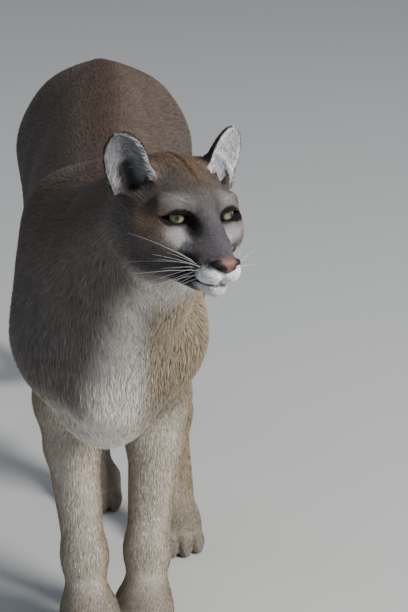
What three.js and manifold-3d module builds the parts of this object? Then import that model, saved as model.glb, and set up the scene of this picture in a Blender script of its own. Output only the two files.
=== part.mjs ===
// A cougar, life size, standing in a slow walk with its head turned to its own left.
// Millimetres. +Z is up, the animal faces -Y and its left side is +X.
// The whole coat is one smooth field of joined forms. Each named part is meshed from that field
// inside its own region, so neighbours meet on a thin cut.
import * as THREE from 'three';
import { mergeVertices } from 'three/addons/utils/BufferGeometryUtils.js';
import Module from 'manifold-3d';

const wasm = await Module();
wasm.setup();

// Driving sizes of the animal
const WITHERS_HEIGHT = 650;
const CUT_GAP = 0.3;
const HUMERUS = 205;
const FOREARM = 212;
const METACARPUS = 72;
const FEMUR = 228;
const SHANK = 236;
const METATARSUS = 160;
const FORE_PAW_WIDTH = 78;
const HIND_PAW_WIDTH = 74;
const SHOULDER_HALF_WIDTH = 69;
const SHOULDER_SHIFT = 6;
const HIP_HALF_WIDTH = 63;
const HIP_SHIFT = 4;

// Where the toe tips stand, and how far each cannon leans back from upright, in degrees
const STANCE = {
  fore_left: { toe: [50, -30], lean: 16, turn: 3 },
  fore_right: { toe: [-28, -48], lean: 16, turn: -3 },
  hind_left: { toe: [101, 238], lean: 36, turn: 4 },
  hind_right: { toe: [-18, 396], lean: 34, turn: -4 },
};

// The head hangs from its nose tip, which is the origin of the head's own frame
const NOSE_TIP = [143, -409, 664];
const HEAD_YAW = 27;
const HEAD_PITCH = -10;
const HEAD_ROLL = -6;
const EYE_CENTRE = [31, 87, 26.5];
const EYE_RADIUS = 15;
const LID_THICKNESS = 3;
const EAR = {
  base: [51, 150, 32], tip: [78, 158, 97], sway: -5, halfWidth: 28, cup: 24, wall: 6.5, facing: 0.34,
};

// Small vector helpers
const radians = (degrees) => (degrees * Math.PI) / 180;
const add = (a, b) => [a[0] + b[0], a[1] + b[1], a[2] + b[2]];
const sub = (a, b) => [a[0] - b[0], a[1] - b[1], a[2] - b[2]];
const times = (a, s) => [a[0] * s, a[1] * s, a[2] * s];
const dot = (a, b) => a[0] * b[0] + a[1] * b[1] + a[2] * b[2];
const cross = (a, b) => [a[1] * b[2] - a[2] * b[1], a[2] * b[0] - a[0] * b[2], a[0] * b[1] - a[1] * b[0]];
const length = (a) => Math.hypot(a[0], a[1], a[2]);
const unit = (a) => times(a, 1 / length(a));
const mix = (a, b, t) => a + (b - a) * t;
const between = (a, b, t) => [mix(a[0], b[0], t), mix(a[1], b[1], t), mix(a[2], b[2], t)];
const clamp = (v, low, high) => Math.min(Math.max(v, low), high);
const ease = (low, high, v) => {
  const t = clamp((v - low) / (high - low), 0, 1);
  return t * t * (3 - 2 * t);
};

// Forms: each returns a function of a point that gives the distance to its surface, negative inside

function ball(centre, radii, lean = 0, turn = 0) {
  const [rx, ry, rz] = radii;
  const cl = Math.cos(radians(lean));
  const sl = Math.sin(radians(lean));
  const ct = Math.cos(radians(turn));
  const st = Math.sin(radians(turn));
  return (p) => {
    const dx = p[0] - centre[0];
    const dy = p[1] - centre[1];
    const dz = p[2] - centre[2];
    const x = ct * dx + st * dy;
    const y0 = ct * dy - st * dx;
    const y = cl * y0 - sl * dz;
    const z = cl * dz + sl * y0;
    const near = Math.hypot(x / rx, y / ry, z / rz);
    const steep = Math.hypot(x / (rx * rx), y / (ry * ry), z / (rz * rz));
    return steep < 1e-9 ? -Math.min(rx, ry, rz) : (near * (near - 1)) / steep;
  };
}

function limb(a, b, ra, rb) {
  const ab = sub(b, a);
  const along = dot(ab, ab);
  return (p) => {
    const ap = sub(p, a);
    const t = clamp(dot(ap, ab) / along, 0, 1);
    return Math.hypot(ap[0] - ab[0] * t, ap[1] - ab[1] * t, ap[2] - ab[2] * t) - mix(ra, rb, t);
  };
}

// The smaller of two distances, with a fillet of size k where they are alike
function fillet(a, b, k) {
  const h = Math.max(k - Math.abs(a - b), 0) / k;
  return Math.min(a, b) - (h * h * k) / 4;
}

function joined(k, forms) {
  return (p) => forms.reduce((d, form) => fillet(d, form(p), k), 1e6);
}

function mirrored(form) {
  return (p) => form([Math.abs(p[0]), p[1], p[2]]);
}

// A smooth curve through stations, each a row whose first number is the place along the body
function along(stations, place) {
  const last = stations.length - 1;
  const y = clamp(place, stations[0][0], stations[last][0]);
  let i = 0;
  while (i < last - 1 && y > stations[i + 1][0]) i += 1;
  const [s0, s1, s2, s3] = [i - 1, i, i + 1, i + 2].map((k) => stations[clamp(k, 0, last)]);
  const span = s2[0] - s1[0];
  const t = (y - s1[0]) / span;
  return s1.slice(1).map((v, k) => {
    const slope1 = ((s2[k + 1] - s0[k + 1]) / (s2[0] - s0[0])) * span;
    const slope2 = ((s3[k + 1] - s1[k + 1]) / (s3[0] - s1[0])) * span;
    const rise = s2[k + 1] - v;
    return v + t * (slope1 + t * (3 * rise - 2 * slope1 - slope2 + t * (slope1 + slope2 - 2 * rise)));
  });
}

// Trunk: stations from the breast to the rump give the back line, the belly line and the half width
const TRUNK_STATIONS = [
  [-118, WITHERS_HEIGHT - 62, 352, 66],
  [-60, WITHERS_HEIGHT - 24, 320, 86],
  [20, WITHERS_HEIGHT - 2, 308, 99],
  [110, WITHERS_HEIGHT - 14, 310, 108],
  [230, WITHERS_HEIGHT - 34, 322, 114],
  [340, WITHERS_HEIGHT - 32, 342, 111],
  [440, WITHERS_HEIGHT - 20, 368, 103],
  [530, WITHERS_HEIGHT - 10, 400, 98],
  [600, WITHERS_HEIGHT - 20, 432, 92],
  [650, WITHERS_HEIGHT - 50, 470, 76],
];

function trunk(p) {
  const [back, belly, half] = along(TRUNK_STATIONS, p[1]);
  const tall = (back - belly) / 2;
  const up = p[2] - (back + belly) / 2;
  // The ribs are widest a little below the middle, and the back is a blunt ridge
  const wide = half * (1 - 0.1 * clamp(up / tall, -1, 1));
  const near = Math.hypot(p[0] / wide, up / tall);
  const steep = Math.hypot(p[0] / (wide * wide), up / (tall * tall));
  const ring = steep < 1e-9 ? -wide : (near * (near - 1)) / steep;
  const past = Math.max(TRUNK_STATIONS[0][0] - p[1], p[1] - TRUNK_STATIONS.at(-1)[0], 0);
  return past > 0 ? Math.hypot(Math.max(ring + 30, 0), past) - 30 : ring;
}

// Where a limb of two bones bends, to reach from its root to its end
function bendPoint(root, end, upper, lower, forwards) {
  const reach = sub(end, root);
  const far = Math.min(length(reach), 0.985 * (upper + lower));
  const turn = Math.acos((upper * upper + far * far - lower * lower) / (2 * upper * far));
  const down = unit(reach);
  const side = unit([0, forwards * down[2], -forwards * down[1]]);
  return add(root, add(times(down, upper * Math.cos(turn)), times(side, upper * Math.sin(turn))));
}

// A paw: four toes in an arc before a broad pad, pressed flat by the floor
function paw(toe, turn, width) {
  const toeHalf = width * 0.165;
  const spots = [-1.5, -0.5, 0.5, 1.5].map((n) => ({ x: n * width * 0.245, y: n * n * 6 }));
  const place = (x, y, z) => {
    const c = Math.cos(radians(turn));
    const s = Math.sin(radians(turn));
    return [toe[0] + c * x - s * y, toe[1] + s * x + c * y, z];
  };
  const toes = spots.flatMap(({ x, y }) => [
    ball(place(x, y + 20, 12), [toeHalf, 21, 16], -14, turn),
    limb(place(x, y + 22, 17), place(x * 0.72, y + 58, 34), toeHalf * 0.95, toeHalf * 1.2),
  ]);
  const pad = ball(place(0, 58, 20), [width * 0.4, 34, 26], 0, turn);
  const bridge = ball(place(0, 60, 36), [width * 0.41, 30, 26], 0, turn);
  return joined(12, [joined(5, toes), joined(10, [pad, bridge])]);
}

// A foreleg from the shoulder blade to the toes
function foreleg(side, { toe, lean, turn }) {
  const shoulder = [side * SHOULDER_HALF_WIDTH + SHOULDER_SHIFT, -66, 452];
  const knuckle = [toe[0], toe[1] + 56, 34];
  const tilt = radians(lean);
  const wrist = [toe[0] + side * 3, knuckle[1] + METACARPUS * Math.sin(tilt), 34 + METACARPUS * Math.cos(tilt)];
  const elbow = add(bendPoint(shoulder, wrist, HUMERUS, FOREARM, -1), [side * 4, 0, 0]);
  const thick = between(elbow, wrist, 0.28);
  const blade = [side * 52, 34, WITHERS_HEIGHT - 62];
  const upper = joined(34, [
    limb(blade, shoulder, 42, 46),
    limb([side * 56, 60, 560], elbow, 44, 38),
    limb(shoulder, elbow, 48, 40),
    ball(add(shoulder, [-side * 2, -4, -4]), [43, 52, 60]),
  ]);
  const lower = joined(16, [
    limb(elbow, thick, 37, 38),
    limb(thick, wrist, 37, 28),
    ball(add(elbow, [0, 16, 2]), [26, 24, 26]),
    limb(wrist, knuckle, 29, 30),
    ball(add(wrist, [0, -4, -2]), [30, 30, 30]),
  ]);
  return { shoulder, elbow, wrist, knuckle, form: joined(22, [upper, lower, paw(toe, turn, FORE_PAW_WIDTH)]) };
}

// A hind leg from the hip to the toes
function hindleg(side, { toe, lean, turn }) {
  const hip = [side * HIP_HALF_WIDTH + HIP_SHIFT, 560, 505];
  const knuckle = [toe[0], toe[1] + 60, 34];
  const tilt = radians(lean);
  const hock = [toe[0] - side * 4, knuckle[1] + METATARSUS * Math.sin(tilt), 34 + METATARSUS * Math.cos(tilt)];
  const knee = add(bendPoint(hip, hock, FEMUR, SHANK, 1), [side * 12, 0, 0]);
  const heel = add(hock, [0, 16, 14]);
  const calf = between(knee, hock, 0.3);
  const upper = joined(40, [
    ball(add(hip, [-side * 6, 14, 4]), [56, 82, 92]),
    limb(hip, knee, 60, 46),
    limb([side * 54, 640, 490], between(knee, hock, 0.12), 46, 40),
    limb([side * 60, 476, 510], knee, 42, 42),
  ]);
  const lower = joined(20, [
    limb(knee, calf, 46, 42),
    limb(calf, hock, 42, 23),
    limb(between(knee, hock, 0.45), heel, 24, 15),
    ball(hock, [23, 25, 26]),
    limb(hock, knuckle, 22, 26),
  ]);
  return { hip, knee, hock, knuckle, form: joined(18, [upper, lower, paw(toe, turn, HIND_PAW_WIDTH)]) };
}

const legs = {
  fore_left: foreleg(1, STANCE.fore_left),
  fore_right: foreleg(-1, STANCE.fore_right),
  hind_left: hindleg(1, STANCE.hind_left),
  hind_right: hindleg(-1, STANCE.hind_right),
};

// Head frame: x to the animal's left, y back from the nose tip, z up
const yaw = radians(HEAD_YAW);
const pitch = radians(HEAD_PITCH);
const roll = radians(HEAD_ROLL);
const headForward = [Math.sin(yaw) * Math.cos(pitch), -Math.cos(yaw) * Math.cos(pitch), Math.sin(pitch)];
const level = [Math.cos(yaw), Math.sin(yaw), 0];
const upright = cross(headForward, level);
const headLeft = add(times(level, Math.cos(roll)), times(upright, Math.sin(roll)));
const headUp = add(times(upright, Math.cos(roll)), times(level, -Math.sin(roll)));
const toHead = (p) => {
  const q = sub(p, NOSE_TIP);
  return [dot(q, headLeft), -dot(q, headForward), dot(q, headUp)];
};
const headWay = ([x, y, z]) => add(times(headLeft, x), add(times(headForward, -y), times(headUp, z)));
const fromHead = (p) => add(NOSE_TIP, headWay(p));

// Skull mass, cheeks and the hinge of the jaws, in the head's own frame
const skullForms = joined(18, [
  ball([0, 142, 8], [60, 62, 57]),
  ball([0, 106, 16], [47, 38, 40]),
  mirrored(ball([42, 114, -10], [31, 44, 38])),
  mirrored(limb([32, 112, -34], [36, 142, -24], 20, 32)),
  ball([0, 164, -12], [58, 44, 56]),
]);

// Bridge of the nose, muzzle, cheekbones and lower jaw
const muzzleForms = joined(12, [
  limb([0, 18, -11], [0, 56, 10], 13.5, 18.5),
  limb([0, 56, 11], [0, 92, 28], 18.5, 25),
  limb([0, 38, -17], [0, 100, -8], 22, 42),
  mirrored(limb([10, 32, -9], [17, 66, 7], 11, 13)),
  mirrored(ball([44, 88, 12], [11.5, 20, 20], 0, 20)),
  mirrored(ball([40, 86, -4], [19, 24, 16])),
  mirrored(limb([10, 44, -42], [34, 116, -36], 12, 23)),
]);

// Whisker pads of the upper lip, and the chin
const lipForms = joined(8, [
  mirrored(ball([14, 24, -16.5], [15.5, 22, 13.5], 8, -12)),
  ball([0, 26, -41], [15, 19, 13], 12),
  mirrored(limb([4, 15.5, -34.5], [20, 36, -35.5], 9, 9)),
]);
const browForms = mirrored(limb([20, 79, 40], [46, 96, 36], 7.5, 8.5));
const earMounds = mirrored(ball([52, 150, 42], [27, 24, 26]));
const earHollows = mirrored(ball([62, 128, 52], [17, 22, 20]));
const innerCorners = mirrored(ball([25, 60, 19], [8, 13, 9]));
const philtrum = limb([0, -3, -14], [0, 2, -30], 3, 2.6);

// Nose pad: broad above and narrow below, with a wing over each nostril
const nosePad = joined(6, [
  ball([0, 8, -2.5], [14, 8, 7]),
  mirrored(ball([11.5, 10, -3.5], [7.5, 7.5, 7])),
  limb([0, 6, -5], [0, 8, -12], 6, 3.6),
]);
const nostrils = mirrored(limb([7.5, -3, -6], [19.5, 10, -4.5], 2.8, 3.2));

function headField(p) {
  let d = fillet(skullForms(p), muzzleForms(p), 16);
  d = fillet(d, browForms(p), 14);
  d = fillet(d, earMounds(p), 16);
  d = -fillet(-d, earHollows(p), 8);
  d = -fillet(-d, innerCorners(p), 9);
  d = fillet(d, lipForms(p), 6);
  d = -fillet(-d, philtrum(p), 3);
  return fillet(d, nosePad(p), 3);
}

// Neck from the withers and breast to the back of the head
const poll = fromHead([0, 166, -2]);
const throat = fromHead([0, 140, -34]);
const neckForms = joined(50, [
  limb([0, -20, 552], poll, 90, 57),
  limb([2, -78, 452], throat, 82, 46),
  limb([0, -40, 500], between(poll, throat, 0.5), 98, 62),
]);
const breast = ball([0, -74, 402], [70, 54, 109], -12);

// Tail: hangs from the rump, clears the floor and turns up at its end. Each stop has a place and a radius
const TAIL_STOPS = [
  [[0, 630, 576], 36],
  [[-2, 704, 566], 32],
  [[-7, 748, 484], 27],
  [[-13, 762, 368], 26],
  [[-22, 778, 256], 26],
  [[-36, 814, 158], 26],
  [[-52, 874, 96], 26.5],
  [[-64, 942, 80], 26],
  [[-70, 998, 102], 22],
];
const tailForms = joined(
  18,
  TAIL_STOPS.slice(1).map(([end, radius], i) => limb(TAIL_STOPS[i][0], end, TAIL_STOPS[i][1], radius)),
);

// The whole animal. Legs melt into the trunk high up, and stay apart from each other lower down
function wholeField(p) {
  const melt = mix(4, 44, ease(250, 400, p[2]));
  let d = fillet(trunk(p), neckForms(p), 60);
  d = fillet(d, breast(p), 40);
  d = fillet(d, headField(toHead(p)), 20);
  d = fillet(d, tailForms(p), 26);
  return Object.values(legs).reduce((near, leg) => fillet(near, leg.form(p), melt), d);
}

const wholeFromHead = (p) => wholeField(fromHead(p));

// A solid from a closed geometry whose faces share their vertices
function solidOf(geometry) {
  return new wasm.Manifold(
    new wasm.Mesh({
      numProp: 3,
      vertProperties: geometry.attributes.position.array,
      triVerts: new Uint32Array(geometry.index.array),
    }),
  );
}

function shared(geometry) {
  geometry.deleteAttribute('normal');
  geometry.deleteAttribute('uv');
  return mergeVertices(geometry, 1e-4);
}

function geometryOf(solid) {
  const mesh = solid.getMesh();
  const geometry = new THREE.BufferGeometry();
  geometry.setAttribute('position', new THREE.BufferAttribute(mesh.vertProperties.slice(), 3));
  geometry.setIndex(new THREE.BufferAttribute(mesh.triVerts.slice(), 1));
  return geometry;
}

function largestBody(solid) {
  return solid.decompose().reduce((a, b) => (a.volume() > b.volume() ? a : b));
}

// Lattice places along one axis, from a list of stops with the spacing to use after each
function places(stops) {
  const list = [stops[0][0]];
  stops.slice(1).forEach(([end], i) => {
    const [start, spacing] = stops[i];
    const count = Math.max(1, Math.round((end - start) / spacing));
    for (let n = 1; n <= count; n += 1) list.push(mix(start, end, n / count));
  });
  return list;
}

// Corners of a lattice cell, and its edges as pairs of corners
const CORNERS = [0, 1, 2, 3, 4, 5, 6, 7].map((n) => [n & 1, (n >> 1) & 1, n >> 2]);
const EDGES = CORNERS.flatMap((a, m) => [1, 2, 4].filter((bit) => !(m & bit)).map((bit) => [m, m | bit]));

// Where a square of the lattice has only the two corners of one diagonal inside, the skin would pinch.
// There the corner nearest to the surface changes side, until no such square is left
function unpinch(value, [nx, ny, nz]) {
  const strides = [1, nx, nx * ny];
  const barely = 1e-3;
  let pinched = true;
  while (pinched) {
    pinched = false;
    for (let axis = 0; axis < 3; axis += 1) {
      const u = strides[(axis + 1) % 3];
      const w = strides[(axis + 2) % 3];
      for (let k = 0; k < nz - 1; k += 1) {
        for (let j = 0; j < ny - 1; j += 1) {
          for (let i = 0; i < nx - 1; i += 1) {
            const n = (k * ny + j) * nx + i;
            const square = [n, n + u, n + u + w, n + w];
            const [a, b, c, d] = square.map((m) => value[m] < 0);
            if (a !== c || b !== d || a === b) continue;
            const weakest = square.reduce((m, o) => (Math.abs(value[o]) < Math.abs(value[m]) ? o : m));
            value[weakest] = value[weakest] < 0 ? barely : -barely;
            pinched = true;
          }
        }
      }
    }
  }
}

// A closed skin over a field, with one point in each lattice cell that the surface crosses
function skinOver(field, [xs, ys, zs]) {
  const [nx, ny, nz] = [xs.length, ys.length, zs.length];
  const at = (i, j, k) => (k * ny + j) * nx + i;
  const value = new Float64Array(nx * ny * nz);
  const onRim = (i, j, k) => !i || !j || !k || i === nx - 1 || j === ny - 1 || k === nz - 1;
  const read = (i, j, k) => (onRim(i, j, k) ? 1 : field([xs[i], ys[j], zs[k]]));
  zs.forEach((_, k) => ys.forEach((__, j) => xs.forEach((___, i) => { value[at(i, j, k)] = read(i, j, k); })));
  unpinch(value, [nx, ny, nz]);
  const points = [];
  const pointOf = new Int32Array(nx * ny * nz).fill(-1);
  const cornerPlace = (i, j, k, [a, b, c]) => [xs[i + a], ys[j + b], zs[k + c]];
  for (let k = 0; k < nz - 1; k += 1) {
    for (let j = 0; j < ny - 1; j += 1) {
      for (let i = 0; i < nx - 1; i += 1) {
        const v = CORNERS.map(([a, b, c]) => value[at(i + a, j + b, k + c)]);
        const crossed = EDGES.filter(([m, n]) => v[m] < 0 !== v[n] < 0);
        if (!crossed.length) continue;
        const hits = crossed.map(([m, n]) =>
          between(cornerPlace(i, j, k, CORNERS[m]), cornerPlace(i, j, k, CORNERS[n]), v[m] / (v[m] - v[n])));
        pointOf[at(i, j, k)] = points.length;
        points.push(times(hits.reduce(add), 1 / hits.length));
      }
    }
  }
  // Each lattice edge that the surface crosses gives one square, split along its shorter diagonal
  const triangles = [];
  const square = (cells, turned) => {
    const ring = (turned ? cells.reverse() : cells).map((cell) => pointOf[cell]);
    const [p, q, r, s] = ring.map((n) => points[n]);
    const first = length(sub(p, r)) <= length(sub(q, s)) ? 0 : 1;
    const [e, f, g, h] = [0, 1, 2, 3].map((n) => ring[(n + first) % 4]);
    triangles.push(e, f, g, e, g, h);
  };
  const steps = [[1, 0, 0], [0, 1, 0], [0, 0, 1]];
  for (let k = 0; k < nz - 1; k += 1) {
    for (let j = 0; j < ny - 1; j += 1) {
      for (let i = 0; i < nx - 1; i += 1) {
        const here = value[at(i, j, k)] < 0;
        steps.forEach((step, axis) => {
          if ([i, j, k][(axis + 1) % 3] === 0 || [i, j, k][(axis + 2) % 3] === 0) return;
          if (here === value[at(i + step[0], j + step[1], k + step[2])] < 0) return;
          const u = steps[(axis + 1) % 3];
          const w = steps[(axis + 2) % 3];
          const cell = (a, b) => at(i - a * u[0] - b * w[0], j - a * u[1] - b * w[1], k - a * u[2] - b * w[2]);
          square([cell(1, 1), cell(0, 1), cell(0, 0), cell(1, 0)], !here);
        });
      }
    }
  }
  const geometry = new THREE.BufferGeometry();
  const settled = points.map((p) => settle(p, field));
  geometry.setAttribute('position', new THREE.Float32BufferAttribute(settled.flat(), 3));
  geometry.setIndex(triangles);
  return geometry;
}

const PROBE = 0.5;

function slopeAt(p, field) {
  const d = field(p);
  return [0, 1, 2].map((axis) => (field(p.map((v, n) => v + (n === axis ? PROBE : 0))) - d) / PROBE);
}

// Moves a point onto the surface of the field, by short steps along its slope
function settle(p, field) {
  const furthest = 2.5;
  const rounds = 3;
  let q = p;
  for (let n = 0; n < rounds; n += 1) {
    const slope = slopeAt(q, field);
    const steep = Math.max(dot(slope, slope), 0.2);
    q = sub(q, times(slope, clamp(field(q), -furthest, furthest) / steep));
  }
  return q;
}

// A closed sheet with two faces, each given as a function of row and column
function sheetGeometry(rows, columns, front, back) {
  const points = [];
  const triangles = [];
  const wide = columns + 1;
  const count = wide * (rows + 1);
  for (const face of [front, back]) {
    for (let r = 0; r <= rows; r += 1) {
      for (let c = 0; c <= columns; c += 1) points.push(face(r / rows, c / columns));
    }
  }
  const square = (a, b, c, d) => triangles.push(a, b, c, a, c, d);
  for (let r = 0; r < rows; r += 1) {
    for (let c = 0; c < columns; c += 1) {
      const n = r * wide + c;
      square(n, n + 1, n + 1 + wide, n + wide);
      square(count + n, count + n + wide, count + n + 1 + wide, count + n + 1);
    }
  }
  for (let r = 0; r < rows; r += 1) {
    const left = r * wide;
    const right = left + columns;
    square(left, left + wide, count + left + wide, count + left);
    square(right + wide, right, count + right, count + right + wide);
  }
  for (let c = 0; c < columns; c += 1) {
    const top = rows * wide + c;
    square(c + 1, c, count + c, count + c + 1);
    square(top, top + 1, count + top + 1, count + top);
  }
  const geometry = new THREE.BufferGeometry();
  geometry.setAttribute('position', new THREE.Float32BufferAttribute(points.flat(), 3));
  geometry.setIndex(triangles);
  return geometry;
}

// Regions: each is a list of planes with the way out. A point is inside if it is behind them all
const plane = (point, out) => ({ point, out: unit(out) });
const turnedOver = ({ point, out }) => plane(point, times(out, -1));
const headPlane = (point, out) => plane(fromHead(point), headWay(out));
const inHeadFrame = ({ point, out }) => plane(toHead(point), sub(toHead(add(NOSE_TIP, out)), toHead(NOSE_TIP)));
const awayFrom = (planes) => (p) => Math.max(...planes.map(({ point, out }) => dot(sub(p, point), out)));

const BLOCK = 3000;

function blockOf(planes, grow) {
  const blocks = planes.map(({ point, out }) => {
    const box = new THREE.BoxGeometry(BLOCK, BLOCK, BLOCK);
    box.translate(0, 0, grow - BLOCK / 2);
    const turn = new THREE.Quaternion().setFromUnitVectors(new THREE.Vector3(0, 0, 1), new THREE.Vector3(...out));
    box.applyQuaternion(turn);
    box.translate(...point);
    return solidOf(shared(box));
  });
  return blocks.reduce((a, b) => a.intersect(b));
}

// The field's skin inside a region, cut flat at the region's planes
function cutFrom(field, planes, lattice) {
  const widest = Math.max(...lattice.flatMap((list) => list.slice(1).map((v, i) => v - list[i])));
  const margin = 1.7 * widest;
  const away = awayFrom(planes);
  const rough = solidOf(skinOver((p) => Math.max(field(p), away(p) - margin), lattice));
  return rough.intersect(blockOf(planes, -CUT_GAP / 2));
}

const without = (solid, regions) =>
  regions.reduce((left, planes) => left.subtract(blockOf(planes, CUT_GAP / 2)), solid);

const even = (low, high, spacing) => places([[low, spacing], [high]]);

// Cuts across the body
const floor = plane([0, 0, 0], [0, 0, -1]);
const headBack = headPlane([0, 168, 20], [0, 1, -0.6]);
const neckRoot = plane([0, -88, 540], [0, 0.84, -0.545]);
const waist = plane([0, 250, 0], [0, 1, 0]);
const tailRoot = plane([0, 704, 0], [0, 1, 0]);
const under = plane([0, 0, 290], [0, 0, -1]);

// Spacing of the lattice on each kind of part
const TRUNK_SPACING = 35;
const NECK_SPACING = 29;
const LIMB_SPACING = 27;
const SHIN_SPACING = 20;
const PAW_SPACING = 12.5;
const TAIL_SPACING = 17;

function foreParts(name, side) {
  const { elbow, wrist } = legs[`fore_${name}`];
  const toe = STANCE[`fore_${name}`].toe;
  const elbowCut = plane(add(elbow, [0, 0, -14]), [0, 0.12, -1]);
  const wristCut = plane(add(wrist, [0, 0, -20]), [0, 0, -1]);
  const innerWrist = add(wrist, [-side * 34, 0, 0]);
  const innerElbow = add(elbow, [-side * 46, 0, 0]);
  const rise = sub(innerElbow, innerWrist);
  const inner = plane(innerWrist, [-side * rise[2], 0, side * rise[0]]);
  const pawsApart = plane([(STANCE.fore_left.toe[0] + STANCE.fore_right.toe[0]) / 2, 0, 0], [-side, 0, 0]);
  const behind = plane([0, 190, 0], [0, 1, 0]);
  const armpit = plane([side * 47, 0, 300], [-side * 0.94, 0, 0.34]);
  const armBack = plane([0, 128, 400], [0, 1, 0.1]);
  const across = (low, high, spacing) => (side > 0 ? even(low, high, spacing) : even(-high, -low, spacing));
  return {
    upper: {
      planes: [armpit, elbowCut, armBack, turnedOver(neckRoot)],
      lattice: [across(10, 180, LIMB_SPACING), even(-190, 175, LIMB_SPACING), even(250, 620, LIMB_SPACING)],
    },
    forearm: {
      planes: [turnedOver(elbowCut), wristCut, inner, pawsApart, behind],
      lattice: [
        across(-20, 150, SHIN_SPACING),
        even(-60, 190, SHIN_SPACING),
        even(wrist[2] - 52, 346, SHIN_SPACING),
      ],
    },
    paw: {
      planes: [turnedOver(wristCut), floor, pawsApart, behind],
      lattice: [
        even(toe[0] - 58, toe[0] + 58, PAW_SPACING),
        even(toe[1] - 20, toe[1] + 125, PAW_SPACING),
        even(-24, wrist[2] + 6, PAW_SPACING),
      ],
    },
  };
}

function hindParts(name, side) {
  const { knee, hock, knuckle } = legs[`hind_${name}`];
  const toe = STANCE[`hind_${name}`].toe;
  const kneeInside = Math.max(Math.abs(knee[0]) - 52, 12);
  const groinRise = 600 - knee[2];
  const groin = plane([side * kneeInside, 0, knee[2] - 15], [-side * groinRise, 0, 100 - kneeInside]);
  const thighFront = plane([0, knee[1] - 62, 400], [0, -1, 0.25]);
  const shankCut = plane(between(knee, hock, 0.42), add(unit(sub(hock, knee)), [0, 0, -1]));
  const heelCut = plane(between(hock, knuckle, 0.3), sub(knuckle, hock));
  const pawsApart = plane([34, 0, 0], [-side, 0, 0]);
  const front = plane([0, 190, 0], [0, -1, 0]);
  const across = (low, high, spacing) => (side > 0 ? even(low, high, spacing) : even(-high, -low, spacing));
  return {
    thigh: {
      planes: [groin, thighFront, shankCut, tailRoot],
      lattice: [
        across(-30, 190, LIMB_SPACING),
        even(knee[1] - 100, 740, LIMB_SPACING),
        even(Math.min(knee[2], hock[2] + 150) - 110, 690, LIMB_SPACING),
      ],
    },
    shank: {
      planes: [turnedOver(shankCut), heelCut, pawsApart, front],
      lattice: [
        across(-60, 180, SHIN_SPACING),
        even(Math.min(hock[1], knee[1]) - 110, hock[1] + 80, SHIN_SPACING),
        even(60, knee[2] + 30, SHIN_SPACING),
      ],
    },
    paw: {
      planes: [turnedOver(heelCut), floor, pawsApart, front],
      lattice: [
        even(toe[0] - 58, toe[0] + 58, PAW_SPACING),
        even(toe[1] - 20, hock[1] + 60, PAW_SPACING),
        even(-24, hock[2] + 10, PAW_SPACING),
      ],
    },
  };
}

// Colours of the coat and of the bare parts
const FUR = { tawny: 0x8a6a50, crown: 0x7a604c, leg: 0xb59a80, pale: 0xa89f96, dark: 0x5a4636 };
const NOSE_LEATHER = 0x8c5a50;
const IRIS = 0x9a9868;

function meshOf(name, geometry, color, roughness) {
  const mesh = new THREE.Mesh(geometry, new THREE.MeshStandardMaterial({ color, roughness, metalness: 0 }));
  mesh.name = name;
  return mesh;
}

const furMesh = (name, solid, color) => meshOf(name, geometryOf(largestBody(solid)), color, 0.9);

const cougar = new THREE.Group();

// Trunk and neck
const SIDES = [['left', 1], ['right', -1]];
const fore = Object.fromEntries(SIDES.map(([name, side]) => [name, foreParts(name, side)]));
const hind = Object.fromEntries(SIDES.map(([name, side]) => [name, hindParts(name, side)]));
const trunkAcross = even(-175, 175, TRUNK_SPACING);
const chest = cutFrom(wholeField, [turnedOver(neckRoot), waist, under], [
  trunkAcross, even(-230, 325, TRUNK_SPACING), even(225, 725, TRUNK_SPACING)]);
const loins = cutFrom(wholeField, [turnedOver(waist), tailRoot, under], [
  trunkAcross, even(175, 780, TRUNK_SPACING), even(225, 725, TRUNK_SPACING)]);
const foreRegions = SIDES.flatMap(([name]) => [fore[name].upper.planes, fore[name].forearm.planes]);
const hindRegions = SIDES.flatMap(([name]) => [hind[name].thigh.planes, hind[name].shank.planes]);
cougar.add(furMesh('torso_front', without(chest, foreRegions), FUR.tawny));
cougar.add(furMesh('torso_rear', without(loins, hindRegions), FUR.tawny));
const neck = cutFrom(wholeField, [turnedOver(headBack), neckRoot], [
  even(-190, 230, NECK_SPACING), even(-390, 80, NECK_SPACING), even(330, 820, NECK_SPACING)]);
cougar.add(furMesh('neck', neck, FUR.tawny));

// Legs
for (const [name] of SIDES) {
  const { upper, forearm, paw: forePaw } = fore[name];
  cougar.add(furMesh(`upper_arm_${name}`, cutFrom(wholeField, upper.planes, upper.lattice), FUR.tawny));
  cougar.add(furMesh(`forearm_${name}`, cutFrom(wholeField, forearm.planes, forearm.lattice), FUR.leg));
  cougar.add(furMesh(`forepaw_${name}`, cutFrom(wholeField, forePaw.planes, forePaw.lattice), FUR.leg));
  const { thigh, shank, paw: hindPaw } = hind[name];
  cougar.add(furMesh(`thigh_${name}`, cutFrom(wholeField, thigh.planes, thigh.lattice), FUR.tawny));
  cougar.add(furMesh(`shank_${name}`, cutFrom(wholeField, shank.planes, shank.lattice), FUR.leg));
  cougar.add(furMesh(`hindpaw_${name}`, cutFrom(wholeField, hindPaw.planes, hindPaw.lattice), FUR.leg));
}

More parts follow.
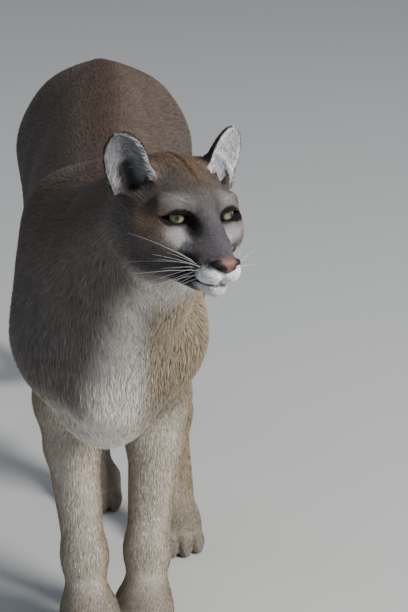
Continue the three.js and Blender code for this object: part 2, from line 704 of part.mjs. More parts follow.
// Tail in three lengths
const tailHigh = plane([0, 0, 430], [0, 0, -1]);
const tailLow = plane([-34, 806, 168], [-0.1, 0.5, -0.86]);
const tailAcross = even(-130, 60, TAIL_SPACING);
const tailParts = {
  tail_root: [[turnedOver(tailRoot), tailHigh],
    [tailAcross, even(650, 850, TAIL_SPACING), even(370, 650, TAIL_SPACING)]],
  tail_middle: [[turnedOver(tailRoot), turnedOver(tailHigh), tailLow],
    [tailAcross, even(670, 910, TAIL_SPACING), even(80, 490, TAIL_SPACING)]],
  tail_tip: [[turnedOver(tailRoot), turnedOver(tailLow)],
    [tailAcross, even(740, 1080, TAIL_SPACING), even(0, 240, TAIL_SPACING)]],
};
for (const [name, [planes, lattice]] of Object.entries(tailParts)) {
  cougar.add(furMesh(name, cutFrom(wholeField, planes, lattice), name === 'tail_tip' ? FUR.dark : FUR.tawny));
}

// Head, in its own frame
const headGroup = new THREE.Group();
const basis = new THREE.Matrix4().makeBasis(
  new THREE.Vector3(...headLeft), new THREE.Vector3(...times(headForward, -1)), new THREE.Vector3(...headUp));
headGroup.quaternion.setFromRotationMatrix(basis);
headGroup.position.set(...NOSE_TIP);
cougar.add(headGroup);

// An ear's own directions: up its length, out of its hollow and across it
function earFrame(side) {
  const base = [side * EAR.base[0] + EAR.sway, EAR.base[1], EAR.base[2]];
  const tip = [side * EAR.tip[0] + EAR.sway, EAR.tip[1], EAR.tip[2]];
  const rise = unit(sub(tip, base));
  const facing = [side * EAR.facing, -1, 0];
  const ahead = unit(sub(facing, times(rise, dot(facing, rise))));
  return { base, tip, rise, ahead, across: cross(rise, ahead) };
}

// The deep bowl in front of the root of an ear
const EAR_BOWL = { height: 19, front: 7, radii: [18, 25, 13.5] };

function earBowl(side) {
  const detail = 2;
  const { base, rise, ahead, across } = earFrame(side);
  const geometry = new THREE.IcosahedronGeometry(1, detail);
  geometry.scale(...EAR_BOWL.radii);
  const turned = new THREE.Matrix4().makeBasis(...[across, rise, ahead].map((way) => new THREE.Vector3(...way)));
  geometry.applyMatrix4(turned);
  geometry.translate(...add(base, add(times(rise, EAR_BOWL.height), times(ahead, EAR_BOWL.front))));
  return shared(geometry);
}

// One cupped ear: a sheet that leans out, hollow to the front, with a round tip and a closed foot
function earGeometry(side) {
  const { base, tip, ahead, across } = earFrame(side);
  const face = (shift) => (v, u) => {
    const w = 2 * u - 1;
    const half = EAR.halfWidth * Math.sqrt(1.02 - v ** 3.2) * (0.86 + 0.28 * v);
    const deep = EAR.cup * (1 - v) ** 0.55;
    const rim = 1 - 0.45 * Math.abs(w) ** 3;
    const back = -deep * (1 - w * w) + shift * EAR.wall * 0.5 * rim * (1 - 0.4 * v);
    const p = add(base, times(sub(tip, base), v));
    return add(p, add(times(across, half * w), times(ahead, back + deep * 0.5)));
  };
  return sheetGeometry(8, 9, face(1), face(-1));
}

// The opening between the lids is an oval whose corners are level, seen square on from ahead and outside
const LID_OPENING = { centre: [36.4, 72.3, 25.6], halfLength: 21, halfHeight: 6.4, depth: 14 };

function lidOpening(side) {
  const detail = 3;
  const alongLids = unit([side, 1, 0]);
  const up = [0, 0, 1];
  const outwards = unit([side, -1, 0]);
  const geometry = new THREE.IcosahedronGeometry(1, detail);
  geometry.scale(LID_OPENING.halfLength, LID_OPENING.halfHeight, LID_OPENING.depth);
  const turned = new THREE.Matrix4().makeBasis(
    new THREE.Vector3(...times(alongLids, side)), new THREE.Vector3(...up), new THREE.Vector3(...outwards));
  geometry.applyMatrix4(turned);
  const [x, y, z] = LID_OPENING.centre;
  geometry.translate(side * x, y, z);
  return shared(geometry);
}

function ballGeometry(centre, radius) {
  const detail = 2;
  const geometry = new THREE.IcosahedronGeometry(radius, detail);
  geometry.translate(...centre);
  return shared(geometry);
}

// The mouth: a thin curved band that follows the lips from corner to corner
const MOUTH_LINE = new THREE.CatmullRomCurve3(
  [
    [-32, 58, -29], [-27, 38, -31], [-22, 22, -31], [-14.5, 10, -30.5], [-7, 5, -29.5], [0, 4, -29],
    [7, 5, -29.5], [14.5, 10, -30.5], [22, 22, -31], [27, 38, -31], [32, 58, -29],
  ].map((p) => new THREE.Vector3(...p)),
);

function mouthGeometry() {
  const gapHeight = 1.5;
  const deep = 5;
  const clear = 9;
  const face = (height) => (v, u) => {
    const [x, y] = MOUTH_LINE.getTangentAt(v).toArray();
    const away = unit([y, -x, 0]);
    return add(MOUTH_LINE.getPointAt(v).toArray(), add(times(away, mix(-deep, clear, u)), [0, 0, height]));
  };
  return sheetGeometry(20, 1, face(-gapHeight / 2), face(gapHeight / 2));
}

// Nose leather, in front of the hair line and above the cleft of the lip
const leatherBack = plane([0, 11.2, 0], [0, 1, 0.35]);
const leatherFoot = [1, -1].map((side) => plane([0, 6, -14], [side * 0.39, 0, -0.92]));
const leatherRegion = [leatherBack, ...leatherFoot];
const noseField = (p) => -fillet(-wholeFromHead(p), nostrils(p), 1.5);
const noseLattice = [even(-24, 24, 3.2), even(-6, 20, 3.1), even(-21, 14, 3.1)];

// Each ear is parted from the head above its root
const earRegion = (side) => [plane([side * 56, 151, 57], [-side * 0.5, -0.2, -0.84])];

const headLattice = [
  places([[-100, 15], [-56, 10], [-30, 6], [30, 10], [56, 15], [100]]),
  places([[-12, 6], [42, 8], [90, 15], [250]]),
  places([[-150, 16], [-60, 6], [4, 8], [60, 11], [104]]),
];
let head = cutFrom(wholeFromHead, [inHeadFrame(headBack)], headLattice);
for (const [name, side] of SIDES) {
  const centre = [side * EYE_CENTRE[0], EYE_CENTRE[1], EYE_CENTRE[2]];
  const lidBall = solidOf(ballGeometry(centre, EYE_RADIUS + LID_THICKNESS));
  head = head.add(lidBall).subtract(solidOf(lidOpening(side)));
  head = head.subtract(solidOf(ballGeometry(centre, EYE_RADIUS + CUT_GAP)));
  headGroup.add(meshOf(`eye_${name}`, ballGeometry(centre, EYE_RADIUS), IRIS, 0.1));
}
for (const [, side] of SIDES) head = head.subtract(solidOf(earBowl(side))).add(solidOf(earGeometry(side)));
for (const [name, side] of SIDES) {
  headGroup.add(furMesh(`ear_${name}`, head.intersect(blockOf(earRegion(side), -CUT_GAP / 2)), FUR.pale));
  head = without(head, [earRegion(side)]);
}
head = head.subtract(solidOf(mouthGeometry()));
headGroup.add(furMesh('head', without(head, [leatherRegion]), FUR.crown));
const nose = cutFrom(noseField, leatherRegion, noseLattice);
headGroup.add(meshOf('nose', geometryOf(largestBody(nose)), NOSE_LEATHER, 0.5));

// The middle of the foot of the whole animal is the origin
const bounds = new THREE.Box3().setFromObject(cougar, true);
const middle = bounds.getCenter(new THREE.Vector3());
cougar.position.set(-middle.x, -middle.y, -bounds.min.z);

export default cougar;
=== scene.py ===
import math

import bpy
import numpy as np
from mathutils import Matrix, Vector


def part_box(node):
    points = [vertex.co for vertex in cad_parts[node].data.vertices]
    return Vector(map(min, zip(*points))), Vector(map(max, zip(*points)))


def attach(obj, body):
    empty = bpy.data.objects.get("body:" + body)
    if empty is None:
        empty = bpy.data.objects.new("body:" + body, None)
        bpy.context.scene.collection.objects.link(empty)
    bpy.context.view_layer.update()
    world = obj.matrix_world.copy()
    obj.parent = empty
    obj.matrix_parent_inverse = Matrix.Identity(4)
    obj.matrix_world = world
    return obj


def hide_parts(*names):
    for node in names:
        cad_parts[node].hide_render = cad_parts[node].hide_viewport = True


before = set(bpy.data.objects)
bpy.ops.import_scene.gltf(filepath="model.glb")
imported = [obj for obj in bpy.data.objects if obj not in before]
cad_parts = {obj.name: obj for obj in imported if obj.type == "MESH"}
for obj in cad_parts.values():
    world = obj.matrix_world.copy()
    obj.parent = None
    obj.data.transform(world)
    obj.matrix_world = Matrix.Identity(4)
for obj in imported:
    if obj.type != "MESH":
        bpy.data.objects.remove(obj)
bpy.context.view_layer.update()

# Trunk, neck and legs
# The animal's flesh and loose skin under its coat: a deep narrow chest, a long hollow back, high
# hindquarters and thick forelegs. It is made as smooth masses that melt into each other, in millimetres
# from the floor under the withers, with the animal facing -Y and its left side at +X.
WITHERS_HEIGHT = 650.0
HUMERUS, FOREARM, METACARPUS = 205.0, 212.0, 72.0
FEMUR, SHANK, METATARSUS = 228.0, 236.0, 160.0
FORE_PAW_WIDTH, HIND_PAW_WIDTH = 78.0, 74.0
KNUCKLE_HEIGHT = 34.0
STRAIGHTEST_LIMB = 0.985
TRUNK_END_ROUND = 30.0
FAR_OFF = 900.0
TINY = 1e-6

# Place of the toes on the floor, lean of the foot and its turn outwards, for the left and right side
FORE_STANCE = {
    1: {"toe": (50.0, -30.0), "lean": 16.0, "turn": 3.0},
    -1: {"toe": (-28.0, -48.0), "lean": 16.0, "turn": -3.0},
}
HIND_STANCE = {
    1: {"toe": (101.0, 238.0), "lean": 36.0, "turn": 4.0},
    -1: {"toe": (-18.0, 396.0), "lean": 34.0, "turn": -4.0},
}


def ease(low, high, value):
    """Goes smoothly from 0 at low to 1 at high."""
    t = np.clip((value - low) / (high - low), 0.0, 1.0)
    return t * t * (3.0 - 2.0 * t)


def lengths(v):
    return np.linalg.norm(v, axis=1)


def unit(v):
    return v / np.linalg.norm(v)


def mass(centre, radii, lean=0.0, turn=0.0):
    """An egg of muscle or bone: gives the distance of points to its surface, negative inside."""
    cl, sl = math.cos(math.radians(lean)), math.sin(math.radians(lean))
    ct, st = math.cos(math.radians(turn)), math.sin(math.radians(turn))
    rx, ry, rz = radii

    def far(p):
        dx, dy, dz = p[:, 0] - centre[0], p[:, 1] - centre[1], p[:, 2] - centre[2]
        x = (ct * dx + st * dy) / rx
        level = ct * dy - st * dx
        y = (cl * level - sl * dz) / ry
        z = (cl * dz + sl * level) / rz
        near = np.sqrt(x * x + y * y + z * z)
        steep = np.sqrt((x / rx) ** 2 + (y / ry) ** 2 + (z / rz) ** 2)
        return near * (near - 1.0) / np.maximum(steep, TINY)

    return far


def limb(a, b, ra, rb):
    """A round bar that tapers from a to b."""
    a, b = np.array(a, float), np.array(b, float)
    ab = b - a

    def far(p):
        ap = p - a
        t = np.clip(ap @ ab / (ab @ ab), 0.0, 1.0)
        return lengths(ap - t[:, None] * ab) - (ra + (rb - ra) * t)

    return far


def fillet(a, b, k):
    """The nearer of two surfaces, with the crease between them filled over the width k."""
    h = np.maximum(k - np.abs(a - b), 0.0) / k
    return np.minimum(a, b) - h * h * k / 4.0


def joined(k, forms):
    def far(p):
        d = forms[0](p)
        for form in forms[1:]:
            d = fillet(d, form(p), k)
        return d

    return far


def only_near(p, near, form):
    """The form's distance where near is true, and a long way elsewhere, which saves time."""
    d = np.full(len(p), FAR_OFF)
    if near.any():
        d[near] = form(p[near])
    return d


# Place along the body, back line, belly line and half width
TRUNK_STATIONS = np.array([
    [-118, WITHERS_HEIGHT - 62, 352, 66],
    [-60, WITHERS_HEIGHT - 24, 320, 86],
    [20, WITHERS_HEIGHT - 2, 308, 99],
    [110, WITHERS_HEIGHT - 14, 310, 108],
    [230, WITHERS_HEIGHT - 34, 322, 114],
    [340, WITHERS_HEIGHT - 32, 342, 111],
    [440, WITHERS_HEIGHT - 20, 368, 103],
    [530, WITHERS_HEIGHT - 10, 400, 98],
    [600, WITHERS_HEIGHT - 20, 432, 92],
    [650, WITHERS_HEIGHT - 50, 470, 76],
])


def trunk_section(y):
    """Back line, belly line and half width at a place along the body, on a smooth curve."""
    s = TRUNK_STATIONS
    last = len(s) - 1
    y = np.clip(y, s[0, 0], s[last, 0])
    i = np.clip(np.searchsorted(s[:, 0], y) - 1, 0, last - 1)
    s0, s1, s2, s3 = s[np.clip(i - 1, 0, last)], s[i], s[i + 1], s[np.clip(i + 2, 0, last)]
    span = (s2[:, 0] - s1[:, 0])[:, None]
    t = (y - s1[:, 0])[:, None] / span
    slope1 = (s2 - s0)[:, 1:] / (s2 - s0)[:, :1] * span
    slope2 = (s3 - s1)[:, 1:] / (s3 - s1)[:, :1] * span
    rise = (s2 - s1)[:, 1:]
    bend = 3 * rise - 2 * slope1 - slope2 + t * (slope1 + slope2 - 2 * rise)
    return (s1[:, 1:] + t * (slope1 + t * bend)).T


def trunk(p):
    x, y, z = p.T
    back, belly, half = trunk_section(y)
    tall = (back - belly) / 2
    up = z - (back + belly) / 2
    wide = half * (1 - 0.1 * np.clip(up / tall, -1, 1))
    near = np.hypot(x / wide, up / tall)
    steep = np.hypot(x / wide**2, up / tall**2)
    ring = near * (near - 1) / np.maximum(steep, TINY)
    past = np.maximum(np.maximum(TRUNK_STATIONS[0, 0] - y, y - TRUNK_STATIONS[-1, 0]), 0)
    capped = np.hypot(np.maximum(ring + TRUNK_END_ROUND, 0), past) - TRUNK_END_ROUND
    return np.where(past > 0, capped, ring)


def bend_point(root, end, upper, lower, forwards):
    """Where a limb of two bones bends, to reach from its root to its end."""
    reach = end - root
    far = min(np.linalg.norm(reach), STRAIGHTEST_LIMB * (upper + lower))
    turn = math.acos((upper**2 + far**2 - lower**2) / (2 * upper * far))
    down = unit(reach)
    side = unit(np.array([0.0, forwards * down[2], -forwards * down[1]]))
    return root + down * upper * math.cos(turn) + side * upper * math.sin(turn)


def paw(toe, turn, width):
    """Four toes in an arc before a broad pad."""
    c, s = math.cos(math.radians(turn)), math.sin(math.radians(turn))
    toe_half = width * 0.165
    toe_pitch = width * 0.245

    def place(x, y, z):
        return (toe[0] + c * x - s * y, toe[1] + s * x + c * y, z)

    toes = []
    for n in (-1.5, -0.5, 0.5, 1.5):
        x, y = n * toe_pitch, n * n * 6
        toes.append(mass(place(x, y + 20, 12), (toe_half, 21, 16), -14, turn))
        knuckle = place(x * 0.72, y + 58, KNUCKLE_HEIGHT)
        toes.append(limb(place(x, y + 22, 17), knuckle, toe_half * 0.95, toe_half * 1.2))
    pad = mass(place(0, 58, 20), (width * 0.4, 34, 26), 0, turn)
    bridge = mass(place(0, 60, 36), (width * 0.41, 30, 26), 0, turn)
    return joined(12, [joined(5, toes), joined(10, [pad, bridge])])


def limb_with_paw(k, forms, foot, foot_top):
    """A leg whose paw's many small forms are only asked for low down."""
    leg = joined(22, forms)

    def far(p):
        return fillet(leg(p), only_near(p, p[:, 2] < foot_top, foot), k)

    return far


def foot_points(toe, back_from_toe, side_step, bone, lean):
    """The knuckle over the toes, and the wrist or hock at the upper end of the foot's leaning bone."""
    knuckle = np.array([toe[0], toe[1] + back_from_toe, KNUCKLE_HEIGHT])
    back, up = bone * math.sin(math.radians(lean)), bone * math.cos(math.radians(lean))
    return knuckle, np.array([toe[0] + side_step, knuckle[1] + back, KNUCKLE_HEIGHT + up])


def foreleg(side, toe, lean, turn):
    shoulder = np.array([side * 69.0 + 6, -66, 452])
    knuckle, wrist = foot_points(toe, 56, side * 3, METACARPUS, lean)
    elbow = bend_point(shoulder, wrist, HUMERUS, FOREARM, -1) + (side * 4, 0, 0)
    thick = elbow + 0.28 * (wrist - elbow)
    upper = joined(34, [
        limb((side * 52, 34, WITHERS_HEIGHT - 62), shoulder, 42, 46),
        limb((side * 56, 60, 560), elbow, 44, 38),
        limb(shoulder, elbow, 48, 40),
        mass(shoulder + (-side * 2, -4, -4), (43, 52, 60)),
    ])
    lower = joined(16, [
        limb(elbow, thick, 37, 38),
        limb(thick, wrist, 37, 28),
        mass(elbow + (0, 16, 2), (26, 24, 26)),
        limb(wrist, knuckle, 29, 30),
        mass(wrist + (0, -2, 6), (28, 29, 38)),
    ])
    bones = [shoulder, elbow, wrist, knuckle, np.array([toe[0], toe[1], 10.0])]
    return bones, limb_with_paw(22, [upper, lower], paw(toe, turn, FORE_PAW_WIDTH), wrist[2] + 60)


def hindleg(side, toe, lean, turn):
    hip = np.array([side * 63.0 + 4, 560, 505])
    knuckle, hock = foot_points(toe, 60, -side * 4, METATARSUS, lean)
    knee = bend_point(hip, hock, FEMUR, SHANK, 1) + (side * 12, 0, 0)
    calf = knee + 0.3 * (hock - knee)
    upper = joined(40, [
        mass(hip + (-side * 6, 14, 4), (56, 82, 92)),
        limb(hip, knee, 60, 46),
        limb((side * 54, 640, 490), knee + 0.12 * (hock - knee), 46, 40),
        limb((side * 60, 476, 510), knee, 42, 42),
    ])
    lower = joined(20, [
        limb(knee, calf, 46, 42),
        limb(calf, hock, 42, 23),
        limb(knee + 0.45 * (hock - knee), hock + (0, 16, 14), 24, 15),
        mass(hock, (23, 25, 26)),
        limb(hock, knuckle, 22, 26),
    ])
    bones = [hip, knee, hock, knuckle, np.array([toe[0], toe[1], 10.0])]
    return bones, limb_with_paw(18, [upper, lower], paw(toe, turn, HIND_PAW_WIDTH), 150)


legs = [foreleg(side, **stance) for side, stance in FORE_STANCE.items()]
legs += [hindleg(side, **stance) for side, stance in HIND_STANCE.items()]

# Head and ears
# A small round skull with a broad short muzzle, strong cheeks and a blunt chin, held by the neck and
# turned to the animal's left. Its own frame has x to the left, y back and z up from the nose tip.
NOSE_TIP = np.array([143.0, -409.0, 664.0])
HEAD_YAW, HEAD_PITCH, HEAD_ROLL = math.radians(27), math.radians(-10), math.radians(-6)
EYE_CENTRE = np.array([31.0, 87.0, 26.5])
EYE_RADIUS = 15.0
LID_THICKNESS = 3.0
EAR_BASE, EAR_TIP, EAR_SWAY = (51.0, 150.0, 32.0), (78.0, 158.0, 97.0), -5.0
EAR_HALF_WIDTH, EAR_CUP, EAR_WALL, EAR_FACING = 28.0, 24.0, 6.5, 0.34
MOUTH_LINE_HALF, MOUTH_LINE_DEPTH, MOUTH_CORNER = 0.9, 4.5, 56
SIDES = {"left": 1, "right": -1}

forward = np.array([
    math.sin(HEAD_YAW) * math.cos(HEAD_PITCH),
    -math.cos(HEAD_YAW) * math.cos(HEAD_PITCH),
    math.sin(HEAD_PITCH),
])
level = np.array([math.cos(HEAD_YAW), math.sin(HEAD_YAW), 0.0])
upright = np.cross(forward, level)
head_axes = np.array([
    level * math.cos(HEAD_ROLL) + upright * math.sin(HEAD_ROLL),
    -forward,
    upright * math.cos(HEAD_ROLL) - level * math.sin(HEAD_ROLL),
])


def to_head(p):
    return (p - NOSE_TIP) @ head_axes.T


def from_head(h):
    return NOSE_TIP + np.asarray(h, float) @ head_axes


def folded(p):
    """The points with the right side laid over the left."""
    return np.column_stack([np.abs(p[:, 0]), p[:, 1], p[:, 2]])


def both_sides(form):
    return lambda p: form(folded(p))


def hollowed(flesh, tool, k):
    """The flesh with the tool's form taken out, and the edge rounded over the width k."""
    return -fillet(-flesh, tool, k)


skull_forms = joined(18, [
    mass((0, 142, 8), (60, 62, 57)),
    mass((0, 106, 16), (47, 38, 40)),
    both_sides(mass((42, 114, -10), (31, 44, 38))),
    both_sides(limb((32, 112, -34), (36, 142, -24), 20, 32)),
    mass((0, 164, -12), (58, 44, 56)),
])
muzzle_forms = joined(12, [
    limb((0, 18, -11), (0, 56, 10), 13.5, 18.5),
    limb((0, 56, 11), (0, 92, 28), 18.5, 25),
    limb((0, 38, -17), (0, 100, -8), 22, 42),
    both_sides(limb((10, 32, -9), (17, 66, 7), 11, 13)),
    both_sides(mass((44, 88, 12), (11.5, 20, 20), 0, 20)),
    both_sides(mass((40, 86, -4), (19, 24, 16))),
    both_sides(limb((10, 44, -42), (34, 116, -36), 12, 23)),
])
lip_forms = joined(8, [
    both_sides(mass((13.5, 23, -18.5), (15, 22, 15.5), 8, -12)),
    mass((0, 27, -42.5), (13, 18, 12), 12),
    both_sides(limb((3, 19, -36.5), (17, 38, -36.5), 7.5, 8)),
])
brow_forms = both_sides(limb((20, 79, 40), (46, 96, 36), 7.5, 8.5))
ear_mounds = both_sides(mass((52, 150, 42), (27, 24, 26)))
ear_hollows = both_sides(mass((62, 128, 52), (17, 22, 20)))
inner_corners = both_sides(mass((25, 60, 19), (8, 13, 9)))
philtrum = limb((0, -3, -14), (0, 2.5, -29), 3, 2.2)
nose_pad = joined(6, [
    mass((0, 8, -2.5), (14, 8, 7)),
    both_sides(mass((11.5, 10, -3.5), (7.5, 7.5, 7))),
    limb((0, 6, -5), (0, 8, -12), 6, 3.6),
])
nostrils = both_sides(limb((7.5, -3, -6), (19.5, 10, -4.5), 2.8, 3.2))


def mouth_height(h):
    """Height of the line between the lips, which sinks behind the whisker pads and rises to its corner."""
    return -31.5 - 2.5 * ease(4, 20, h[:, 1]) + 3.5 * ease(34, 58, h[:, 1])


def ear_frame(side):
    base = np.array([side * EAR_BASE[0] + EAR_SWAY, EAR_BASE[1], EAR_BASE[2]])
    tip = np.array([side * EAR_TIP[0] + EAR_SWAY, EAR_TIP[1], EAR_TIP[2]])
    rise = unit(tip - base)
    facing = np.array([side * EAR_FACING, -1.0, 0.0])
    ahead = unit(facing - rise * (facing @ rise))
    return base, np.linalg.norm(tip - base), rise, np.cross(rise, ahead), ahead


def ear_leaf(h, side):
    """Height up the ear from 0 to 1, place across it from -1 to 1 and distance in front of its middle,
    then the ear's half width there, the depth of its cup and its whole height."""
    base, tall, rise, across, ahead = ear_frame(side)
    q = h - base
    height = q @ rise / tall
    v = np.clip(height, 0, 1)
    half = EAR_HALF_WIDTH * np.sqrt(1.02 - v**3.2) * (0.86 + 0.28 * v)
    w = q @ across / half
    deep = EAR_CUP * (1 - v) ** 0.55
    inside = np.clip(w, -1, 1)
    front = q @ ahead - deep * 0.5 + deep * (1 - inside**2)
    return height, w, front, half, deep, tall


def ear_shell(side):
    """The cupped leaf of one ear."""

    def far(h):
        height, w, front, half, deep, tall = ear_leaf(h, side)
        v, inside = np.clip(height, 0, 1), np.clip(w, -1, 1)
        wall = EAR_WALL * 0.5 * (1 - 0.45 * np.abs(inside) ** 3) * (1 - 0.4 * v)
        slant = np.sqrt(1 + (2 * deep * inside / half) ** 2)
        leaf = np.abs(front) / slant - wall
        rim = (np.abs(w) - 1) * half * 0.8
        ends = np.maximum(height - 1, -height) * tall
        return hollowed(leaf, -np.maximum(rim, ends), 3)

    return far


# Edges of the lids by place along them, from the inner corner at the negative end
LID_MIDDLE = np.array([36.4, 72.3, 25.6])
LID_ALONG = np.array([1.0, 1.0, 0.0]) / math.sqrt(2)
LID_OUT = np.array([1.0, -1.0, 0.0]) / math.sqrt(2)
LID_PLACES = [-22, -14, -5, 4, 12, 21]
UPPER_LID = [-1.5, 3.0, 6.0, 5.9, 3.0, -1.6]
LOWER_LID = [-2.2, -5.4, -7.0, -6.2, -3.8, -1.6]


def on_lids(m):
    """Place along the lids and height over their middle, for points folded onto one side."""
    q = m - LID_MIDDLE
    return q @ LID_ALONG, q[:, 2]


def from_eye(m):
    return lengths(m - EYE_CENTRE)


def eye_slit(m):
    """How far points are outside the opening between the lids."""
    along, height = on_lids(m)
    over = height - np.interp(along, LID_PLACES, UPPER_LID)
    under = np.interp(along, LID_PLACES, LOWER_LID) - height
    past = np.abs(along + 1.5) - 20.5
    return np.maximum(np.maximum(over, under), np.maximum(past, 3 - (m - EYE_CENTRE) @ LID_OUT))


def ear_bowl(side):
    """The deep bowl in front of the root of an ear."""
    base, _, rise, across, ahead = ear_frame(side)
    centre = base + rise * 19 + ahead * 7
    axes = np.array([across, rise, ahead]).T
    form = mass((0, 0, 0), (18, 25, 13.5))
    return lambda h: form((h - centre) @ axes)


def head_field(h):
    d = fillet(skull_forms(h), muzzle_forms(h), 16)
    d = fillet(d, brow_forms(h), 14)
    d = fillet(d, ear_mounds(h), 16)
    d = hollowed(d, ear_hollows(h), 8)
    d = hollowed(d, inner_corners(h), 9)
    d = fillet(d, lip_forms(h), 6)
    d = hollowed(d, philtrum(h), 3)
    d = fillet(d, nose_pad(h), 3)
    # Lids stretched over the eyeballs
    return fillet(d, from_eye(folded(h)) - EYE_RADIUS - LID_THICKNESS, 5)


def head_details(h, d):
    """Opens the eyes, the mouth's line and the nostrils, and adds the ears."""
    m = folded(h)
    opening = np.maximum(eye_slit(m), from_eye(m) - EYE_RADIUS - LID_THICKNESS - 9)
    for side in SIDES.values():
        d = hollowed(d, ear_bowl(side)(h), 3)
        d = fillet(d, only_near(h, side * h[:, 0] > 8, ear_shell(side)), 7)
    d = hollowed(d, opening, 1.2)
    d = np.maximum(d, EYE_RADIUS - 0.6 - from_eye(m))
    line = np.abs(h[:, 2] - mouth_height(h)) - MOUTH_LINE_HALF
    lip_gap = np.maximum(line, np.maximum(h[:, 1] - MOUTH_CORNER, -MOUTH_LINE_DEPTH - d))
    d = hollowed(d, lip_gap, 2.5)
    return hollowed(d, nostrils(h), 1.5)


poll, throat = from_head((0, 166, -2)), from_head((0, 140, -34))
neck_forms = joined(50, [
    limb((0, -20, 552), poll, 90, 57),
    limb((2, -78, 452), throat, 82, 46),
    limb((0, -40, 500), (poll + throat) / 2, 98, 62),
])
breast = mass((0, -74, 402), (70, 54, 109), -12)

# Tail
# A long thick tail of many small bones, that hangs from the rump, clears the floor and turns up at its
# end. Each stop gives a place and the radius with its fur.
TAIL_STOPS = [
    ((0, 630, 576), 36),
    ((-2, 704, 566), 32),
    ((-7, 748, 484), 27),
    ((-13, 762, 368), 26),
    ((-22, 778, 256), 26),
    ((-36, 814, 158), 26),
    ((-52, 874, 96), 26.5),
    ((-64, 942, 80), 25),
    ((-70, 998, 102), 15),
]
TAIL_STEPS = 6


def tail_curve():
    """Places and radii along the tail, on a smooth curve through its stops."""
    stops = np.array([[*place, radius] for place, radius in TAIL_STOPS], float)
    last = len(stops) - 1
    rows = []
    for i in range(last):
        before, start, end, after = stops[max(i - 1, 0)], stops[i], stops[i + 1], stops[min(i + 2, last)]
        for t in np.arange(TAIL_STEPS) / TAIL_STEPS:
            bend = 2 * before - 5 * start + 4 * end - after
            twist = 3 * start - before - 3 * end + after
            rows.append(start + 0.5 * t * (end - before + t * (bend + t * twist)))
    rows.append(stops[last])
    return np.array(rows)


tail_rows = tail_curve()
tail_bars = [limb(a[:3], b[:3], a[3], b[3]) for a, b in zip(tail_rows[:-1], tail_rows[1:])]


def tail_forms(p):
    return np.min([bar(p) for bar in tail_bars], axis=0)


# Skin
# One loose skin covers the whole animal, with its lids, ears, lips and nostrils, and lies under the coat.
# It is a closed sheet of squares laid over the masses above, fine on the head and coarse on the body, and
# it carries the same colours as the fur that grows on it.
HEAD_REACH = 190.0
SKIN_SOLE = 0.4
MILLIMETRES = 1000.0


def near_head(p):
    return lengths(p - from_head((0, 112, 8))) < HEAD_REACH


def part_distances(p):
    """How far points are from the trunk, neck, head, tail and the four legs."""
    y = p[:, 1]
    return {
        "trunk": trunk(p),
        "neck": only_near(p, y < 240, neck_forms),
        "head": only_near(p, near_head(p), lambda q: head_field(to_head(q))),
        "tail": only_near(p, y > 540, tail_forms),
        "legs": [
            only_near(p, np.abs(y - middle) < 250, form)
            for (_, form), middle in zip(legs, (30, 30, 460, 460))
        ],
    }


def flesh(p):
    """Distance to the outside of the whole coat, with each part melted into the trunk over a width."""
    far = part_distances(p)
    melt = 4 + 40 * ease(250, 400, p[:, 2])
    d = fillet(far["trunk"], far["neck"], 60)
    d = fillet(d, only_near(p, p[:, 1] < 120, breast), 40)
    d = fillet(d, far["head"], 20)
    d = fillet(d, far["tail"], 26)
    for leg in far["legs"]:
        d = fillet(d, leg, melt)
    return d


def coat_depth(p):
    """Depth of the coat in millimetres: thin on the face and feet, and thickest on the throat."""
    h = to_head(p)
    _, y, z = p.T
    depth = 4.6 - 2.0 * ease(380, 250, z) - 1.0 * ease(110, 60, z)
    depth = depth + 1.6 * ease(-20, -90, y) * ease(380, 440, z)
    depth = depth + (4.4 - depth) * ease(700, 730, y)
    head = ease(205, 60, lengths(h - (0, 90, 10)) * 1.3 - 20 * ease(0, 60, -h[:, 2]))
    return depth + (1.0 - depth) * head


def skin_field(p):
    """Distance to the skin under the coat, with lids, ears, mouth and nostrils."""
    d = flesh(p) + coat_depth(p)
    near = near_head(p)
    if near.any():
        d[near] = head_details(to_head(p[near]), d[near])
    return np.maximum(d, SKIN_SOLE - p[:, 2])


def spread(stops):
    """Places along an axis from stops with the spacing to use after each."""
    places = [stops[0][0]]
    for (start, spacing), (end, _) in zip(stops[:-1], stops[1:]):
        count = max(1, round((end - start) / spacing))
        places += [start + (end - start) * n / count for n in range(1, count + 1)]
    return np.array(places, float)


def every_meeting(axes):
    """All points of a lattice, one row each."""
    return np.stack(np.meshgrid(*axes, indexing="ij"), -1).reshape(-1, 3)


def sparse_values(field, axes):
    """The field on a lattice, exact near the surface and rough elsewhere."""
    stride, batch = 4, 200000
    value = np.full([len(a) for a in axes], FAR_OFF)
    starts = [np.arange(0, len(a) - 1, stride) for a in axes]
    ends = [np.minimum(first + stride, len(axis) - 1) for axis, first in zip(axes, starts)]
    middles = [(axis[first] + axis[last]) / 2 for axis, first, last in zip(axes, starts, ends)]
    halves = [(axis[last] - axis[first]) / 2 for axis, first, last in zip(axes, starts, ends)]
    middle_value = field(every_meeting(middles))
    close = np.abs(middle_value) < lengths(every_meeting(halves)) * 1.3 + 8
    blocks = every_meeting(starts)
    sign = np.where(middle_value < 0, -FAR_OFF, FAR_OFF)
    for (i, j, k), v in zip(blocks[~close], sign[~close]):
        value[i:i + stride + 1, j:j + stride + 1, k:k + stride + 1] = v
    wanted = np.zeros(value.shape, bool)
    for i, j, k in blocks[close]:
        wanted[i:i + stride + 1, j:j + stride + 1, k:k + stride + 1] = True
    index = np.argwhere(wanted)
    points = np.column_stack([axes[n][index[:, n]] for n in range(3)])
    exact = np.empty(len(points))
    for first in range(0, len(points), batch):
        exact[first:first + batch] = field(points[first:first + batch])
    value[wanted] = exact
    return value


def slope_of(field, p):
    step = 0.4
    d = field(p)
    slope = np.empty_like(p)
    for axis in range(3):
        moved = p.copy()
        moved[:, axis] += step
        slope[:, axis] = (field(moved) - d) / step
    return d, slope


def unit_rows(v):
    return v / np.maximum(lengths(v), TINY)[:, None]


